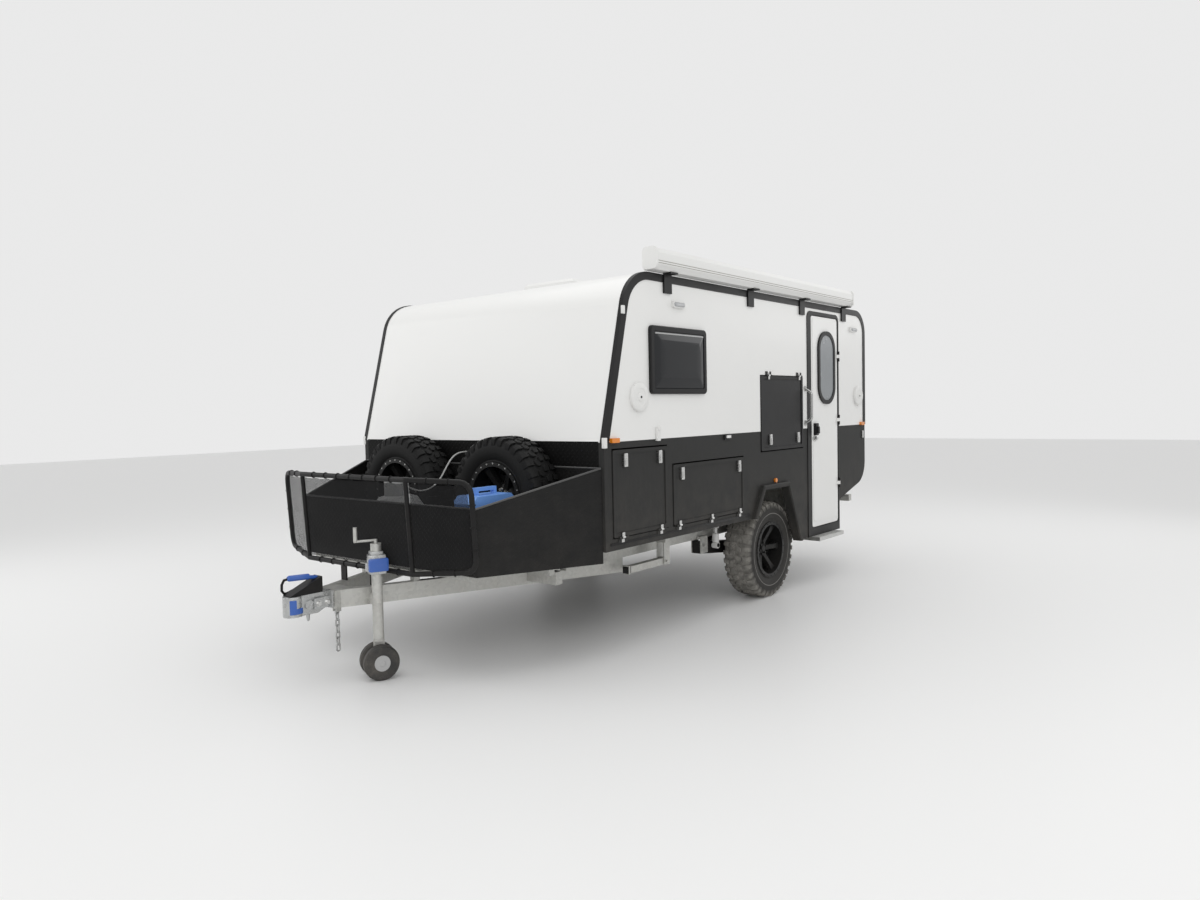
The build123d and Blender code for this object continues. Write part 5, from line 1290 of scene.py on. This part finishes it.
def makeStepRibs():
    low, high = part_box("entry_step")
    half, ends = stepRibs["half"], stepRibs["ends"]
    ribs = []
    for index in range(stepRibs["count"]):
        across = high.y - stepRibs["first"] - index * stepRibs["pitch"]
        ribs.append(((low.x + ends, across - half, high.z - stepRibs["sunk"]),
                     (high.x - ends, across + half, high.z + stepRibs["proud"])))
    slabs("stepRibs", ribs, "treadAlloy", "entry_step", "step_alloy", stepRibs["bevel"])


# Small parts on the walls: boxes by hand, each with two corners back, out from the wall and up
wallParts = {"kickStrips": {"paint": "blackTrim", "slot": "black_trim", "bevel": 0.0012,
                            "boxes": ((hands, (0.045, 0.0, 0.030), (1.700, 0.0035, 0.046)),)},
             "whiteFittings": {"paint": "whiteMoulding", "slot": "white_plastic", "bevel": 0.004,
                               "boxes": (((1,), (0.516, 0.0, 0.632), (0.554, 0.018, 0.716)),
                                         ((1,), (0.522, 0.017, 0.700), (0.548, 0.026, 0.722)),
                                         ((1,), (1.360, 0.0, 0.615), (1.414, 0.020, 0.634)),
                                         (hands, (-0.006, -0.012, 0.610), (0.020, 0.012, 0.672)),
                                         ((1,), (0.186, 0.0, 1.402), (0.212, 0.014, 1.452)))},
             "socketBody": {"paint": "blackTrim", "slot": "black_trim", "bevel": 0.003,
                            "boxes": (((1,), (1.340, 0.0, 0.604), (1.434, 0.012, 0.640)),)},
             "rearLatch": {"paint": "stainless", "slot": "stainless", "bevel": 0.004,
                           "boxes": (((1,), (3.794, 0.0, 0.520), (3.824, 0.012, 0.588)),)}}


def makeWallParts():
    for name, part in wallParts.items():
        boxes = []
        for sides, *corners in part["boxes"]:
            boxes += [[at(back, hand * (bodySide + out), up) for back, out, up in corners] for hand in sides]
        slabs(name, boxes, part["paint"], "trailer", part["slot"], part["bevel"])


# Tail lamps: amber and clear fields in each red case
tailFields = {"side": 0.985, "half": 0.045, "proud": 0.003, "sunk": 0.006,
              "rows": (("tailAmber", "amberLens", "amber_lens", 0.36, 0.64),
                       ("tailClear", "clearLens", "white_plastic", 0.06, 0.30))}


def makeTailFields():
    low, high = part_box("tail_lamps")
    tall, side, half = high.z - low.z, tailFields["side"], tailFields["half"]
    for name, paint, slotName, first, last in tailFields["rows"]:
        boxes = [((low.x - tailFields["proud"], hand * (side - half), low.z + first * tall),
                  (low.x + tailFields["sunk"], hand * (side + half), low.z + last * tall)) for hand in hands]
        slabs(name, boxes, paint, "trailer", slotName)


# Grey strips in the two grooves of the awning's case, as painted shade in the grooves
grooveShade = {"shares": (0.27, 0.37), "cap": 0.017, "in": 0.0098, "out": 0.0068, "half": 0.0023}


def makeGrooveShade():
    low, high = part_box("awning_cassette")
    levels = [low.z + share * (high.z - low.z) for share in grooveShade["shares"]]
    boxes = [((low.x + grooveShade["cap"], high.y - grooveShade["in"], level - grooveShade["half"]),
              (high.x - grooveShade["cap"], high.y - grooveShade["out"], level + grooveShade["half"])) for level in levels]
    # the grey strips in the grooves are painted shade
    slabs("awningSeams", boxes, "grooveShadeGrey", "trailer", "awning_shell", 0.0)


makeRailPlates()
makeLegCaps()
makeStepRibs()
makeWallParts()
makeTailFields()
makeGrooveShade()
print("hitch and small parts made")
